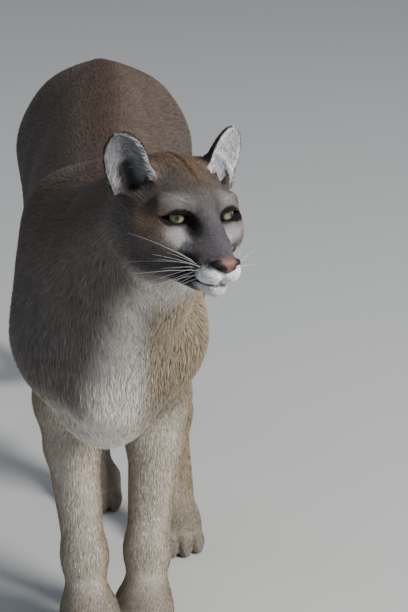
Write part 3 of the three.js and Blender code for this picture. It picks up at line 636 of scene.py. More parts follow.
def skin_over(field, axes):
    """A closed skin of squares over a field: one point in each lattice cell that the surface crosses."""
    rounds, longest_move = 3, 2.5
    value = sparse_values(field, axes)
    inside = value < 0
    nx, ny, nz = value.shape
    corners = [(a, b, c) for a in (0, 1) for b in (0, 1) for c in (0, 1)]
    count = np.zeros((nx - 1, ny - 1, nz - 1), np.int8)
    for a, b, c in corners:
        count += inside[a:nx - 1 + a, b:ny - 1 + b, c:nz - 1 + c]
    cells = np.argwhere((count > 0) & (count < 8))
    number = np.full(count.shape, -1, np.int64)
    number[tuple(cells.T)] = np.arange(len(cells))
    total = np.zeros((len(cells), 3))
    hits = np.zeros(len(cells))
    place = [np.column_stack([axes[n][cells[:, n] + corner[n]] for n in range(3)]) for corner in corners]
    level = [value[tuple((cells + corner).T)] for corner in corners]
    for m, first in enumerate(corners):
        for n, second in enumerate(corners):
            if n <= m or sum(abs(f - s) for f, s in zip(first, second)) != 1:
                continue
            crossed = (level[m] < 0) != (level[n] < 0)
            t = np.where(crossed, level[m] / np.where(crossed, level[m] - level[n], 1), 0)
            total += np.where(crossed[:, None], place[m] + (place[n] - place[m]) * t[:, None], 0)
            hits += crossed
    points = total / hits[:, None]
    squares = []
    step = np.eye(3, dtype=int)
    for axis in range(3):
        u, w = (axis + 1) % 3, (axis + 2) % 3
        low = inside[tuple(slice(0, -1) if n == axis else slice(1, -1) for n in range(3))]
        high = inside[tuple(slice(1, None) if n == axis else slice(1, -1) for n in range(3))]
        for edges, turned in ((low & ~high, False), (high & ~low, True)):
            at = np.argwhere(edges) + [0 if n == axis else 1 for n in range(3)]
            ring = [at - step[u] - step[w], at - step[w], at, at - step[u]]
            ids = np.column_stack([number[tuple(cell.T)] for cell in ring])
            squares.append(ids[:, ::-1] if turned else ids)
    # The points settle onto the surface
    for _ in range(rounds):
        d, slope = slope_of(field, points)
        steep = np.maximum((slope**2).sum(1), 0.2)
        points = points - slope * (np.clip(d, -longest_move, longest_move) / steep)[:, None]
    return points, np.vstack(squares), unit_rows(slope_of(field, points)[1])


lattice = [
    spread([(-170, 9.5), (-60, 7), (-6, 2.3), (84, 1.8), (176, 2.3), (214, 9), (240, 9)]),
    spread([(-432, 1.75), (-330, 2.3), (-200, 8), (60, 9.5), (216, 8), (500, 9.5), (1044, 9)]),
    spread([(-7, 5), (110, 9.5), (588, 3), (612, 1.75), (680, 2.3), (800, 9)]),
]
skin_points, skin_squares, skin_normals = skin_over(skin_field, lattice)


def mesh_piece(name, vertices, faces):
    """A smooth mesh object from arrays in metres; faces is a list of arrays with 3 or 4 columns."""
    mesh = bpy.data.meshes.new(name)
    corners = np.concatenate([f.ravel() for f in faces]).astype(np.int32)
    sizes = np.concatenate([np.full(len(f), f.shape[1], np.int32) for f in faces])
    mesh.vertices.add(len(vertices))
    mesh.vertices.foreach_set("co", vertices.astype(np.float32).ravel())
    mesh.loops.add(len(corners))
    mesh.loops.foreach_set("vertex_index", corners)
    mesh.polygons.add(len(sizes))
    mesh.polygons.foreach_set("loop_start", (np.cumsum(sizes) - sizes).astype(np.int32))
    mesh.polygons.foreach_set("use_smooth", np.ones(len(sizes), bool))
    mesh.update(calc_edges=True)
    piece = bpy.data.objects.new(name, mesh)
    bpy.context.scene.collection.objects.link(piece)
    return piece, corners


# The CAD eye's middle tells where the body frame stands in the model's frame
eye_low, eye_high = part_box("eye_left")
shift = np.array((eye_low + eye_high) / 2) - from_head(EYE_CENTRE) / MILLIMETRES


def to_metres(p):
    return p / MILLIMETRES + shift


# Colours of the coat, from daylight fur: each is red, green, blue as a screen shows it
def screen_colour(red, green, blue):
    c = np.array([red, green, blue]) / 255
    return np.where(c < 0.04045, c / 12.92, ((c + 0.055) / 1.055) ** 2.4)


TAWNY = screen_colour(94, 81, 72)
SPINE = screen_colour(76, 59, 50)
FLANK = screen_colour(96, 87, 82)
CREAM = screen_colour(238, 232, 222)
LEG_TAN = screen_colour(154, 139, 116)
PAW_GREY = screen_colour(148, 138, 124)
TAIL_TIP = screen_colour(44, 38, 36)
CROWN = screen_colour(80, 71, 66)
OCHRE = screen_colour(102, 82, 62)
MIDLINE = screen_colour(54, 42, 36)
BROW_GREY = screen_colour(86, 78, 72)
BRIDGE = screen_colour(88, 84, 88)
PALE_EYE = screen_colour(172, 170, 173)
CHEEK = screen_colour(100, 92, 88)
TEMPLE = screen_colour(142, 118, 96)
JAW_DARK_AND_SHADE = screen_colour(70, 66, 68)
LIP_WHITE = screen_colour(252, 252, 250)
WHISKER_DARK = screen_colour(34, 28, 28)
RIM_BLACK_AND_SHADE = screen_colour(14, 12, 12)
EAR_PALE = screen_colour(148, 147, 151)
# Painted shade for the deep bowl of each ear
EAR_BOWL_SHADE = screen_colour(34, 30, 29)
EAR_BACK = screen_colour(58, 50, 46)
# Painted light that brightens the inside of each ear, and painted shade in its bowl, for the left and right
# side
EAR_PAINTED_LIGHT = {1: 2.1, -1: 1.0}
BOWL_SHADE_STRENGTH = {1: 0.35, -1: 0.9}
# Black skin round the lids, widened above by painted shade under the brow, by place along them: its upper
# and lower edges
RIM_PLACES = [-28, -20, -13, -5, 3, 9, 16, 24]
RIM_UPPER = [-1.0, 6.2, 10.4, 12.6, 11.8, 8.0, 2.8, -1.0]
RIM_LOWER = [-9.0, -11.5, -9.5, -8.2, -8.0, -6.6, -4.4, -2.4]


def layered(base, layers):
    """Lays colours or directions over each other: each layer is what it brings and its weight by point."""
    for top, weight in layers:
        base = base + (top - base) * weight[:, None]
    return base


def patch(m, centre, radii, soft=0.45):
    """1 inside an egg-shaped patch, and 0 outside, with a soft edge."""
    return ease(1 + soft, 1 - soft, lengths((m - centre) / radii))


def streak(p, pitch, seed):
    """A cheap uneven pattern from -1 to 1 with spots about pitch wide."""
    rng = np.random.default_rng(seed)
    total = np.zeros(len(p))
    for _ in range(5):
        way = unit(rng.normal(size=3))
        total += np.sin(p @ way * (2 * math.pi / pitch) * rng.uniform(0.6, 1.5) + rng.uniform(0, 6.3))
    return np.clip(total / 2.6, -1, 1)


def head_weight(h):
    """1 on the head, 0 on the neck and body."""
    weight = ease(1.25, 0.92, lengths((h - (0, 88, 6)) / (84, 100, 84)))
    for side in SIDES.values():
        weight = np.maximum(weight, ease(1.5, 1.1, lengths(h - (side * 66 + EAR_SWAY, 150, 66)) / 40))
    return weight


def in_ear(h, side):
    """Height up the ear, place across it and distance in front of its middle."""
    return ear_leaf(h, side)[:3]


def leg_weight(p):
    """1 on the legs, 0 on the trunk."""
    far = part_distances(p)
    return ease(-4, 26, far["trunk"] - np.min(far["legs"], axis=0)) * ease(430, 330, p[:, 2])


def tail_weight(p):
    return ease(690, 720, p[:, 1])


def coat_colour(p, n):
    """Colour of the coat at skin points p with outward directions n."""
    x, y, z = p.T
    out_x, out_y, out_z = n.T
    back, belly, _ = trunk_section(y)
    up = (z - belly) / (back - belly)
    # Throat and chest are cream, more so on the left side, which the turned head uncovers, and less on the
    # right side as painted shade
    beside = np.interp(z, [300, 420, 560, 640], [4, 8, 42, 84])
    band = ease(68, 14, np.abs(x - beside - 12))
    front = ease(0.15, -0.4, out_y + 0.5 * out_z) * ease(20, -70, y)
    lit_shoulder = ease(26, 62, x) * ease(70, -10, y) * ease(620, 540, z)
    # Legs are tan outside, and cream in front and inside
    on_leg = leg_weight(p)
    hind = ease(170, 230, y)
    outer = ease(-0.5, 0.4, out_x * np.sign(x))
    body = layered(np.tile(TAWNY, (len(p), 1)), [
        (FLANK, ease(0.85, 0.55, up)),
        (SPINE, ease(0.45, 0.97, out_z) * ease(34, 6, np.abs(x)) * 0.8),
        (CREAM, ease(0.3, 0.02, up) * ease(-0.1, -0.8, out_z) * 0.85),
        (CREAM, front * (0.12 + 0.88 * band)),
        (LEG_TAN, lit_shoulder * 0.85),
        (LEG_TAN, on_leg * (1 - hind * ease(90, 380, z) * (0.35 + 0.6 * outer))),
        (CREAM, on_leg * ease(-0.2, -0.9, out_y) * 0.4 * (1 - hind)),
        (CREAM, on_leg * (1 - outer) * hind * 0.5),
        (PAW_GREY, ease(95, 45, z) * (y < 640) * (0.8 + 0.2 * hind)),
        (TAWNY, tail_weight(p)),
        (SPINE, tail_weight(p) * 0.5),
        (TAIL_TIP, ease(850, 925, y) * 0.95),
    ])
    h = to_head(p)
    m = folded(h)
    aside, behind_nose, high = m.T
    # The forehead between the ears, the bridge of the nose, the jaw and the line between the lips
    between = ease(84, 124, behind_nose) * ease(30, 45, high)
    on_bridge = ease(26, 14, aside) * ease(90, 66, behind_nose) * ease(-8, 0, high - 0.16 * behind_nose)
    under_jaw = ease(-44, -58, high) * ease(170, 120, behind_nose)
    lip_line = ease(2.2, 0.9, np.abs(high - mouth_height(m))) * ease(60, 52, behind_nose)
    # The black rim round the lids, widened above the eye by painted shade under the brow
    along, height = on_lids(m)
    above = np.interp(along, RIM_PLACES, RIM_UPPER) - height
    below = height - np.interp(along, RIM_PLACES, RIM_LOWER)
    rim = ease(-0.9, 0.9, np.minimum(above, below)) * ease(24, 20, along) * ease(36, 32, from_eye(m))
    rim *= ease(-2, 3, (m - EYE_CENTRE) @ LID_OUT)
    face = layered(np.tile(CHEEK, (len(p), 1)), [
        (TEMPLE, patch(m, (50, 98, 12), (22, 30, 24)) * 0.85),
        # Darker lower jaw: partly darker fur, partly painted shade under the jaw
        (JAW_DARK_AND_SHADE, patch(m, (40, 92, -34), (26, 36, 22)) * 0.8),
        (CROWN, ease(18, 46, high + 0.1 * behind_nose) * ease(70, 100, behind_nose)),
        (BROW_GREY, patch(m, (22, 92, 46), (20, 24, 20)) * 0.8),
        (OCHRE, ease(24, 6, np.abs(h[:, 0] - 6)) * between),
        (OCHRE, ease(116, 150, behind_nose) * ease(38, 58, high) * 0.6),
        (MIDLINE, ease(6.5, 0.5, np.abs(h[:, 0] - 1)) * between * 0.85),
        (BRIDGE, on_bridge),
        (MIDLINE, on_bridge * ease(7, 2, np.abs(aside - 13)) * ease(30, 52, behind_nose) * 0.45),
        (PALE_EYE, patch(m, (30, 82, 43), (17, 14, 8), 0.8) * 0.35),
        (PALE_EYE, patch(m, (43, 78, 11), (13, 14, 7), 0.6) * 0.5),
        (PALE_EYE, patch(m, (37, 66, 6), (12, 14, 8), 0.6) * 0.66),
        (PALE_EYE, patch(m, (30, 54, 0), (10, 13, 8), 0.6) * 0.62),
        (WHISKER_DARK, patch(m, (17, 60, 28), (3.5, 12, 8)) * 0.5),
        (WHISKER_DARK, patch(m, (27, 43, -19), (10, 17, 14), 0.35) * 0.95),
        (WHISKER_DARK, patch(m, (24, 48, -37), (12, 18, 12)) * 0.8),
        (WHISKER_DARK, patch(m, (17, 15, -6), (5, 8, 5.5)) * 0.85),
        (LIP_WHITE, patch(m, (13, 13, -21), (16, 21, 13), 0.2)),
        (LIP_WHITE, ease(-33, -38, high) * ease(38, 24, behind_nose) * 0.75),
        # Cream under the jaw fades towards the right side: painted shade
        (CREAM, under_jaw * (0.15 + 0.65 * ease(-34, 14, h[:, 0]))),
        (WHISKER_DARK, lip_line * 0.9),
        (RIM_BLACK_AND_SHADE, rim * (1 - 0.35 * ease(-14, -26, along))),
    ])
    # Ears: pale inside, with painted light on the left one and painted shade in each bowl, and dark behind
    for side in SIDES.values():
        height, w, ahead = in_ear(h, side)
        on_ear = (side * h[:, 0] > 20) & (height > -0.1) & (np.abs(ahead) < 9)
        on_ear = on_ear * ease(-0.02, 0.16, height) * ease(1.2, 1.0, np.abs(w))
        behind = ease(1.0, -1.0, ahead)
        bowl_shade = ease(2.2, -1.2, ear_bowl(side)(h)) * ease(0.66, 0.40, height) * BOWL_SHADE_STRENGTH[side]
        edge_hair = ease(0.25, 0.65, np.abs(w + 0.15)) * 0.85
        face = layered(face, [
            (EAR_PALE * EAR_PAINTED_LIGHT[side], on_ear * (1 - behind)),
            (EAR_BACK, on_ear * behind * ease(1.05, 0.85, np.abs(w))),
            (EAR_BOWL_SHADE, bowl_shade * (1 - edge_hair) * (1 - behind * (height > 0.1))),
        ])
    on_head = head_weight(h)
    mottle = 1 + 0.05 * streak(p, 60, 3) + 0.04 * streak(p, 17, 4) + 0.05 * on_head * streak(p, 5, 5)
    return np.clip(layered(body, [(face, on_head)]) * mottle[:, None], 0, 1)


CHART_SIZE, CHART_MARGIN, MAP_EDGE = 0.325, 0.06, 0.01


def unwrap(p, chart=None, middle=None):
    """Places p on the flat map of the skin, with one chart for each part, by place round and along it.
    chart and middle keep a face's corners on one chart, past its seam."""
    far = part_distances(p)
    order = [far["trunk"], far["neck"] - 4, far["head"] - 8, far["tail"] - 6] + far["legs"]
    if chart is None:
        chart = np.argmin(order, axis=0)
    x, y, z = p.T
    head_x, head_y, head_z = to_head(p).T
    along = [(y + 130) / 800, (y + 320) / 420, (head_y + 12) / 240, (y - z * 0.5 - 300) / 800]
    around = [
        np.arctan2(x, z - 480),
        np.arctan2(x - 20, z - 540 + 0.4 * y),
        np.arctan2(head_x, head_z - 2),
        np.arctan2(x + 20, y - 780),
    ]
    for bones, _ in legs:
        bone_x, bone_y, bone_z = np.array(bones[::-1]).T
        along.append(z / 640)
        around.append(np.arctan2(x - np.interp(z, bone_z, bone_x), y - np.interp(z, bone_z, bone_y)))
    row = np.arange(len(p))
    v = np.clip(np.array(along)[chart, row], 0, 1)
    turn = np.array(around)[chart, row] / (2 * math.pi) + 0.5
    if middle is not None:
        turn = middle + (turn - middle + 0.5) % 1 - 0.5
    u = CHART_MARGIN + (1 - 2 * CHART_MARGIN) * turn
    uv = np.column_stack([chart % 3 + u, chart // 3 + 0.04 + 0.92 * v]) * CHART_SIZE + MAP_EDGE
    return uv, chart, turn


def set_colours(piece, colours):
    layer = piece.data.color_attributes.new("coat", "FLOAT_COLOR", "POINT")
    rgba = np.column_stack([colours, np.ones(len(colours))]).astype(np.float32)
    layer.data.foreach_set("color", rgba.ravel())


def set_bake_map(piece, uv):
    layer = piece.data.uv_layers.new(name="OFBake")
    layer.data.foreach_set("uv", uv.astype(np.float32).ravel())


def new_material(name):
    material = bpy.data.materials.new(name)
    material.use_nodes = True
    return material


def feed(material, node, inputs):
    """Sets a node's inputs: each is a value of its own, or comes from an output of another node."""
    for socket, source in inputs.items():
        if isinstance(source, bpy.types.NodeSocket):
            material.node_tree.links.new(source, node.inputs[socket])
        else:
            node.inputs[socket].default_value = source


def add_node(material, kind, inputs, operation=None):
    node = material.node_tree.nodes.new("ShaderNode" + kind)
    if operation:
        node.operation = operation
    feed(material, node, inputs)
    return node


def feed_shader(material, inputs):
    feed(material, material.node_tree.nodes["Principled BSDF"], inputs)


def object_place(material):
    return add_node(material, "TexCoord", {}).outputs["Object"]


def painted_colour(material):
    layer = add_node(material, "VertexColor", {})
    layer.layer_name = "coat"
    return layer.outputs["Color"]


def range_of(material, value, low, high):
    """The value from 0 to 1 stretched to go from low to high."""
    stretched = add_node(material, "MapRange", {"Value": value, "To Min": low, "To Max": high})
    return stretched.outputs["Result"]


def tinted(material, colour, strength):
    """The colour made darker or lighter by a strength round 1."""
    return add_node(material, "VectorMath", {0: colour, "Scale": strength}, "SCALE").outputs["Vector"]


def bumped(material, height, strength, distance):
    bump = add_node(material, "Bump", {"Height": height, "Strength": strength, "Distance": distance})
    return bump.outputs["Normal"]


def coat_material(name, roughness, grain):
    """Fur as the eye sees it from a few steps: its colour broken by fine uneven strands."""
    material = new_material(name)
    along_hair = (grain, grain * 0.3, grain * 0.5)
    strands = add_node(material, "Mapping", {"Vector": object_place(material), "Scale": along_hair})
    noise = {"Vector": strands.outputs["Vector"], "Scale": 1.0, "Detail": 3.0}
    unevenness = add_node(material, "TexNoise", noise).outputs["Fac"]
    colour = tinted(material, painted_colour(material), range_of(material, unevenness, 0.84, 1.16))
    feed_shader(material, {"Base Color": colour, "Roughness": roughness, "Specular IOR Level": 0.25})
    return material, unevenness


skin_piece, skin_corners = mesh_piece("skin", to_metres(skin_points), [skin_squares])
set_colours(skin_piece, coat_colour(skin_points, skin_normals))
_, middle_chart, middle_turn = unwrap(skin_points[skin_squares].mean(1))
corner_uv, _, _ = unwrap(skin_points[skin_corners], np.repeat(middle_chart, 4), np.repeat(middle_turn, 4))
set_bake_map(skin_piece, corner_uv)
skin_fur, skin_strands = coat_material("short_fur_on_skin", 0.8, 700.0)
feed_shader(skin_fur, {"Normal": bumped(skin_fur, skin_strands, 0.6, 0.001)})
skin_piece.data.materials.append(skin_fur)
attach(skin_piece, "root")
flesh_nodes = [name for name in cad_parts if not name.startswith(("eye_", "nose"))]
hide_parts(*flesh_nodes)

# Nose leather
# Bare damp skin over the end of the nose, broad above and drawn in below, with a comma-shaped nostril
# at each side. It is pink-brown, darker at its rim, its sides partly dark skin and partly painted shade,
# its nostrils painted shade, and finely pebbled.
NOSE_PINK = screen_colour(124, 86, 78)
NOSE_DARK_AND_SHADE = screen_colour(26, 20, 20)
LEATHER_REACH = 11.2
LEATHER_FOOT = 14


def behind_leather(h, reach):
    """Distance of points behind a slanted plane, as the one where the leather ends and the fur begins."""
    return (h[:, 1] - reach) * 0.944 + h[:, 2] * 0.33


def beside_leather(h, side):
    """Distance of points outside the slanted lower edge of the leather, at one side."""
    return (side * h[:, 0]) * 0.39 - (h[:, 2] + LEATHER_FOOT) * 0.92


def leather_field(h):
    d = hollowed(head_field(h), nostrils(h), 1.5)
    d = hollowed(d, limb((0, -2.5, 4), (0, -2.5, -14), 1.6, 1.8)(h), 2)
    beside = [beside_leather(h, side) for side in SIDES.values()]
    return hollowed(d, -np.maximum(behind_leather(h, LEATHER_REACH), np.maximum(*beside)), 2)


nose_axes = [spread([(-24, 1.0), (24, 1)]), spread([(-6, 1.0), (20, 1)]), spread([(-21, 1.0), (14, 1)])]
nose_points, nose_squares, _ = skin_over(leather_field, nose_axes)
nose_piece, _ = mesh_piece("nose_leather", to_metres(from_head(nose_points)), [nose_squares])
# Darker sides: partly the leather's dark margin, partly painted shade; darker nostrils: painted shade in
# their hollows
dark_sides_and_shade = ease(3.5, 9.0, np.abs(nose_points[:, 0]) - 0.5 * (nose_points[:, 2] + 2))
nostril_shade = ease(3.6, 0.8, nostrils(nose_points))
at_rim = ease(6.0, 11.0, nose_points[:, 1]) * 0.7
nose_dark_and_shade = np.maximum(np.maximum(dark_sides_and_shade, nostril_shade), at_rim) * 0.95
set_colours(nose_piece, layered(np.tile(NOSE_PINK, (len(nose_points), 1)), [(NOSE_DARK_AND_SHADE, nose_dark_and_shade)]))
leather = new_material("damp_nose_leather")
place = object_place(leather)
pebbles = add_node(leather, "TexVoronoi", {"Vector": place, "Scale": 900.0}).outputs["Distance"]
blotches = add_node(leather, "TexNoise", {"Vector": place, "Scale": 160.0}).outputs["Fac"]
feed_shader(leather, {
    "Base Color": tinted(leather, painted_colour(leather), range_of(leather, blotches, 0.55, 1.35)),
    "Normal": bumped(leather, pebbles, 0.35, 0.0006),
    "Roughness": 0.48,
    "Specular IOR Level": 0.3,
})
nose_piece.data.materials.append(leather)
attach(nose_piece, "root")
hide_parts("nose")

# Eyes
# Wet eyeballs with a clear bulge in front, a pale green-gold iris and a small round pupil. They sit
# deep between dark lids, and look forwards and a little outwards.
PUPIL_RADIUS = 2.1
BULGE = 1.0
LOOK = unit(np.array([0.38, -0.92, 0.0]))
EYE_RINGS, EYE_SECTORS = 40, 48


def eyeball(name, side):
    """A ball whose rings run round the line of sight, with a slight bulge over the iris."""
    look = LOOK * (side, 1, 1)
    across = unit(np.cross(look, (0, 0, 1)))
    over = np.cross(across, look)
    points, from_pupil, lid_shadow = [], [], []
    for a in np.linspace(0, math.pi, EYE_RINGS + 1):
        lift = BULGE * float(ease(0.62, 0.15, a))
        for b in np.linspace(0, 2 * math.pi, EYE_SECTORS, endpoint=False):
            way = look * math.cos(a) + (across * math.cos(b) + over * math.sin(b)) * math.sin(a)
            points.append(EYE_CENTRE * (side, 1, 1) + way * (EYE_RADIUS - 0.5 + lift))
            from_pupil.append(EYE_RADIUS * math.sin(a) if a < math.pi / 2 else EYE_RADIUS * 2)
            # The iris darkens towards its top: painted shadow of the upper lid
            lid_shadow.append(1.05 - 0.90 * float(ease(-3.5, 3.8, (way * EYE_RADIUS)[2])))
    grid = np.arange(len(points)).reshape(EYE_RINGS + 1, EYE_SECTORS)
    beside = np.roll(grid, -1, axis=1)
    squares = np.stack([grid[:-1], grid[1:], beside[1:], beside[:-1]], -1).reshape(-1, 4)
    piece, _ = mesh_piece(name, to_metres(from_head(np.array(points))), [squares])
    for label, values in (("from_pupil", from_pupil), ("lid_shadow", lid_shadow)):
        layer = piece.data.attributes.new(label, "FLOAT", "POINT")
        layer.data.foreach_set("value", np.array(values, np.float32))
    return piece


def attribute_value(material, label):
    reader = add_node(material, "Attribute", {})
    reader.attribute_name = label
    return reader.outputs["Fac"]


wet_eye = new_material("wet_eye")
distance = {"Value": attribute_value(wet_eye, "from_pupil"), "From Max": EYE_RADIUS}
from_middle = add_node(wet_eye, "MapRange", distance).outputs["Result"]
iris = add_node(wet_eye, "ValToRGB", {"Fac": from_middle})
ring_colours = [
    (0.0, (0.004, 0.004, 0.004, 1)),
    (PUPIL_RADIUS / EYE_RADIUS, (0.004, 0.004, 0.004, 1)),
    ((PUPIL_RADIUS + 0.6) / EYE_RADIUS, (0.13, 0.10, 0.045, 1)),
    (0.28, (0.37, 0.34, 0.19, 1)),
    (0.50, (0.32, 0.315, 0.20, 1)),
    (0.58, (0.12, 0.11, 0.07, 1)),
    (0.62, (0.014, 0.012, 0.011, 1)),
]
elements = iris.color_ramp.elements
elements[0].position, elements[0].color = ring_colours[0]
elements[1].position, elements[1].color = ring_colours[-1]
for position, tone in ring_colours[1:-1]:
    element = elements.new(position)
    element.color = tone
fibres = add_node(wet_eye, "TexNoise", {"Vector": object_place(wet_eye), "Scale": 900.0}).outputs["Fac"]
# Fibres of the iris, and the painted shadow of the upper lid
shades = {0: range_of(wet_eye, fibres, 0.8, 1.2), 1: attribute_value(wet_eye, "lid_shadow")}
fibres_and_lid_shadow = add_node(wet_eye, "Math", shades, "MULTIPLY").outputs["Value"]
feed_shader(wet_eye, {
    "Base Color": tinted(wet_eye, iris.outputs["Color"], fibres_and_lid_shadow),
    "Roughness": 0.5,
    "Specular IOR Level": 0.15,
    "Coat Weight": 1.0,
    "Coat Roughness": 0.03,
})
for name, side in SIDES.items():
    eye = eyeball(f"eyeball_{name}", side)
    eye.data.materials.append(wet_eye)
    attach(eye, "root")
    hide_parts(f"eye_{name}")

# Coat
# Short dense fur that lies back along the body, down the legs and away from the nose. It is longer on the
# throat, chest, belly and tail. Each tuft is a thin bent blade that tapers to a tip, rooted in the skin.
TUFT_LIMIT = 470000
MOST_TUFTS_IN_PIECE = 64000
BLADE_STEPS = 2
BLADE_ON_MAP = 0.003
FLOOR_CLEARANCE = 0.5
ROOT_SINK = 0.5
BLADE_ROLL, BLADE_SHADE, SIDEWAYS_DRIFT = 0.35, 0.07, 0.12
SHORTEST, LONGEST = 0.75, 1.15
FLATTEST, STEEPEST = 0.4, 0.85
# Share of dark and of pale hairs on the body, what the head adds to it, and how dark or pale they are
DARK_ON_BODY, DARK_ON_HEAD, DARKENED = 0.16, 0.14, 0.6
PALE_ON_BODY, PALE_ON_HEAD, PALED = 0.04, 0.12, 1.7
rng = np.random.default_rng(7)


def inside_ear(h):
    """True on the front face of either ear."""
    found = np.zeros(len(h), bool)
    for side in SIDES.values():
        height, w, front = in_ear(h, side)
        found |= (side * h[:, 0] > 20) & (height > 0) & (np.abs(w) < 1.3) & (front > 0) & (front < 9)
    return found


def lie_of_coat(p, n):
    """Direction in which the hairs lie at each point."""
    h = to_head(p)
    _, y, z = p.T
    far = part_distances(p)
    on_leg = ease(-10, 30, far["trunk"] - np.min(far["legs"], axis=0)) * ease(470, 340, z)
    none = np.zeros(len(p))
    down = np.column_stack([none, 0.3 * ease(120, 300, z) - 0.6 * ease(110, 40, z), none - 1])
    # Back and down the flanks, then over the neck, down the chest, down the legs and along the tail
    way = np.tile([0.0, 1.0, -0.28], (len(p), 1))
    way[:, 2] -= 0.5 * ease(0.2, 0.9, np.abs(n[:, 0]))
    way = layered(way, [
        (np.array([-0.22, 0.75, -0.75]), ease(20, -60, y)),
        (np.array([0.0, 0.12, -1.0]), ease(-0.2, -0.7, n[:, 1]) * ease(40, -40, y)),
        (down, on_leg),
    ])
    for (start, _), (end, _) in zip(TAIL_STOPS[1:-1], TAIL_STOPS[2:]):
        run = np.array(end, float) - start
        along = (p - start) @ unit(run) / np.linalg.norm(run)
        way = layered(way, [(unit(run), ease(-0.4, 0.1, along) * ease(1.4, 0.9, along) * tail_weight(p))])
    # Away from the nose over the face, up the ears, and inwards from their rims
    from_nose = h - (0, -14, -12)
    from_nose[:, 0] *= 0.8
    from_nose[:, 2] *= ease(-60, 40, h[:, 1]) * 0.9
    for side in SIDES.values():
        _, _, rise, across, ahead = ear_frame(side)
        height, w, front = in_ear(h, side)
        on_ear = (side * h[:, 0] > 20) & (height > 0.02) & (np.abs(w) < 1.4) & (np.abs(front) < 9)
        from_nose[on_ear] = rise * 100
        within = on_ear & (front > 0)
        from_nose[within] = rise * 70 - across * (np.sign(w[within]) * 75)[:, None] + ahead * 20
    way = layered(way, [(unit_rows(from_nose @ head_axes), head_weight(h))])
    return unit_rows(way - n * (way * n).sum(1)[:, None])


def tuft_size(p, n):
    """Length and width of the tufts in millimetres, and how many stand on a square millimetre."""
    h = to_head(p)
    m = folded(h)
    aside, behind_nose, high = m.T
    _, y, z = p.T
    # On the back and flanks, then the belly, chest, legs, paws, tail and the tail's end
    length = np.full(len(p), 10.0)
    length += 8 * (ease(-0.2, -0.8, n[:, 2]) * ease(-60, 60, y))
    length += 7 * (ease(-0.1, -0.6, n[:, 1]) * ease(40, -40, y))
    length += (10 - length) * leg_weight(p)
    length += (7 - length) * ease(95, 45, z)
    length += (17 - length) * tail_weight(p)
    length += 6 * ease(860, 940, y) - 8 * ease(970, 1004, y)
    # Shortest on the nose and round the eyes, longer on the cheeks and under the jaw, long in the ears
    face = 3.2 + 3.5 * ease(50, 110, behind_nose) + 4 * ease(100, 165, behind_nose)
    face += 5 * ease(-20, -60, high) * ease(60, 120, behind_nose)
    face -= (face - 2.2) * ease(42, 28, from_eye(m))
    on_head = head_weight(h)
    face[on_head * (high > 50) * (aside > 34) > 0.5] = 4.0
    within_ear = inside_ear(h)
    face[within_ear] = 8.5
    length += (face - length) * on_head
    width = 0.42 + 0.036 * length
    density = 3.6 / (length * width)
    width[within_ear] *= 0.5
    density[within_ear] *= 2.2
    return length, width, density


def bare_places(p):
    """True where no tuft grows: nose leather, lids' edges, between the lips, soles and the ears' depths."""
    h = to_head(p)
    m = folded(h)
    leather_spot = (behind_leather(h, 0) < 12.0) & (beside_leather(m, 1) < 1.0)
    eye_spot = (eye_slit(m) < 1.6) & (from_eye(m) < EYE_RADIUS + 12)
    lips = (np.abs(h[:, 2] - mouth_height(h)) < 2.0) & (h[:, 1] < MOUTH_CORNER)
    bare = (leather_spot | lips) & near_head(p) | eye_spot | (p[:, 2] < 3)
    for side in SIDES.values():
        height, w, _ = in_ear(h, side)
        bare |= (ear_bowl(side)(h) < 2.5) & (np.abs(w) < 0.4) & (height < 0.22)
    return bare


def tuft_mesh(name, roots, normals, ways, length, width, depth, colours):
    """Bent tapering blades: two edges that meet in a tip."""
    count = len(roots)
    side = np.cross(normals, ways)
    roll = rng.normal(0, BLADE_ROLL, count)[:, None]
    side = side * np.cos(roll) + normals * np.sin(roll)
    verts, tones, spots = [], [], []
    uv, _, _ = unwrap(roots)
    shade = rng.normal(1.0, BLADE_SHADE, count)[:, None]
    for s in range(BLADE_STEPS + 1):
        t = s / BLADE_STEPS
        rise = depth * (0.75 * t + 0.45 * t * (1 - t)) - ROOT_SINK * (1 - t)
        middle = roots + ways * (length * t)[:, None] + normals * rise[:, None]
        half = width * 0.5 * (1 - 0.25 * t)
        for sign in (-1, 1) if s < BLADE_STEPS else (0,):
            verts.append(middle + side * (sign * half)[:, None])
            tones.append(np.clip(colours * shade * (0.87 + 0.21 * t), 0, 1))
            spots.append(uv + [sign * BLADE_ON_MAP / 2, (t - 0.5) * BLADE_ON_MAP])
    points = np.stack(verts, 1).reshape(-1, 3)
    points[:, 2] = np.maximum(points[:, 2], FLOOR_CLEARANCE)
    first = np.arange(count) * len(verts)
    faces = []
    for s in range(BLADE_STEPS - 1):
        a = first + 2 * s
        faces.append(np.column_stack([a, a + 1, a + 3, a + 2]))
    a = first + 2 * (BLADE_STEPS - 1)
    faces.append(np.column_stack([a, a + 1, a + 2]))
    piece, corners = mesh_piece(name, to_metres(points), faces)
    set_colours(piece, np.stack(tones, 1).reshape(-1, 3))
    set_bake_map(piece, np.stack(spots, 1).reshape(-1, 2)[corners])
    return piece


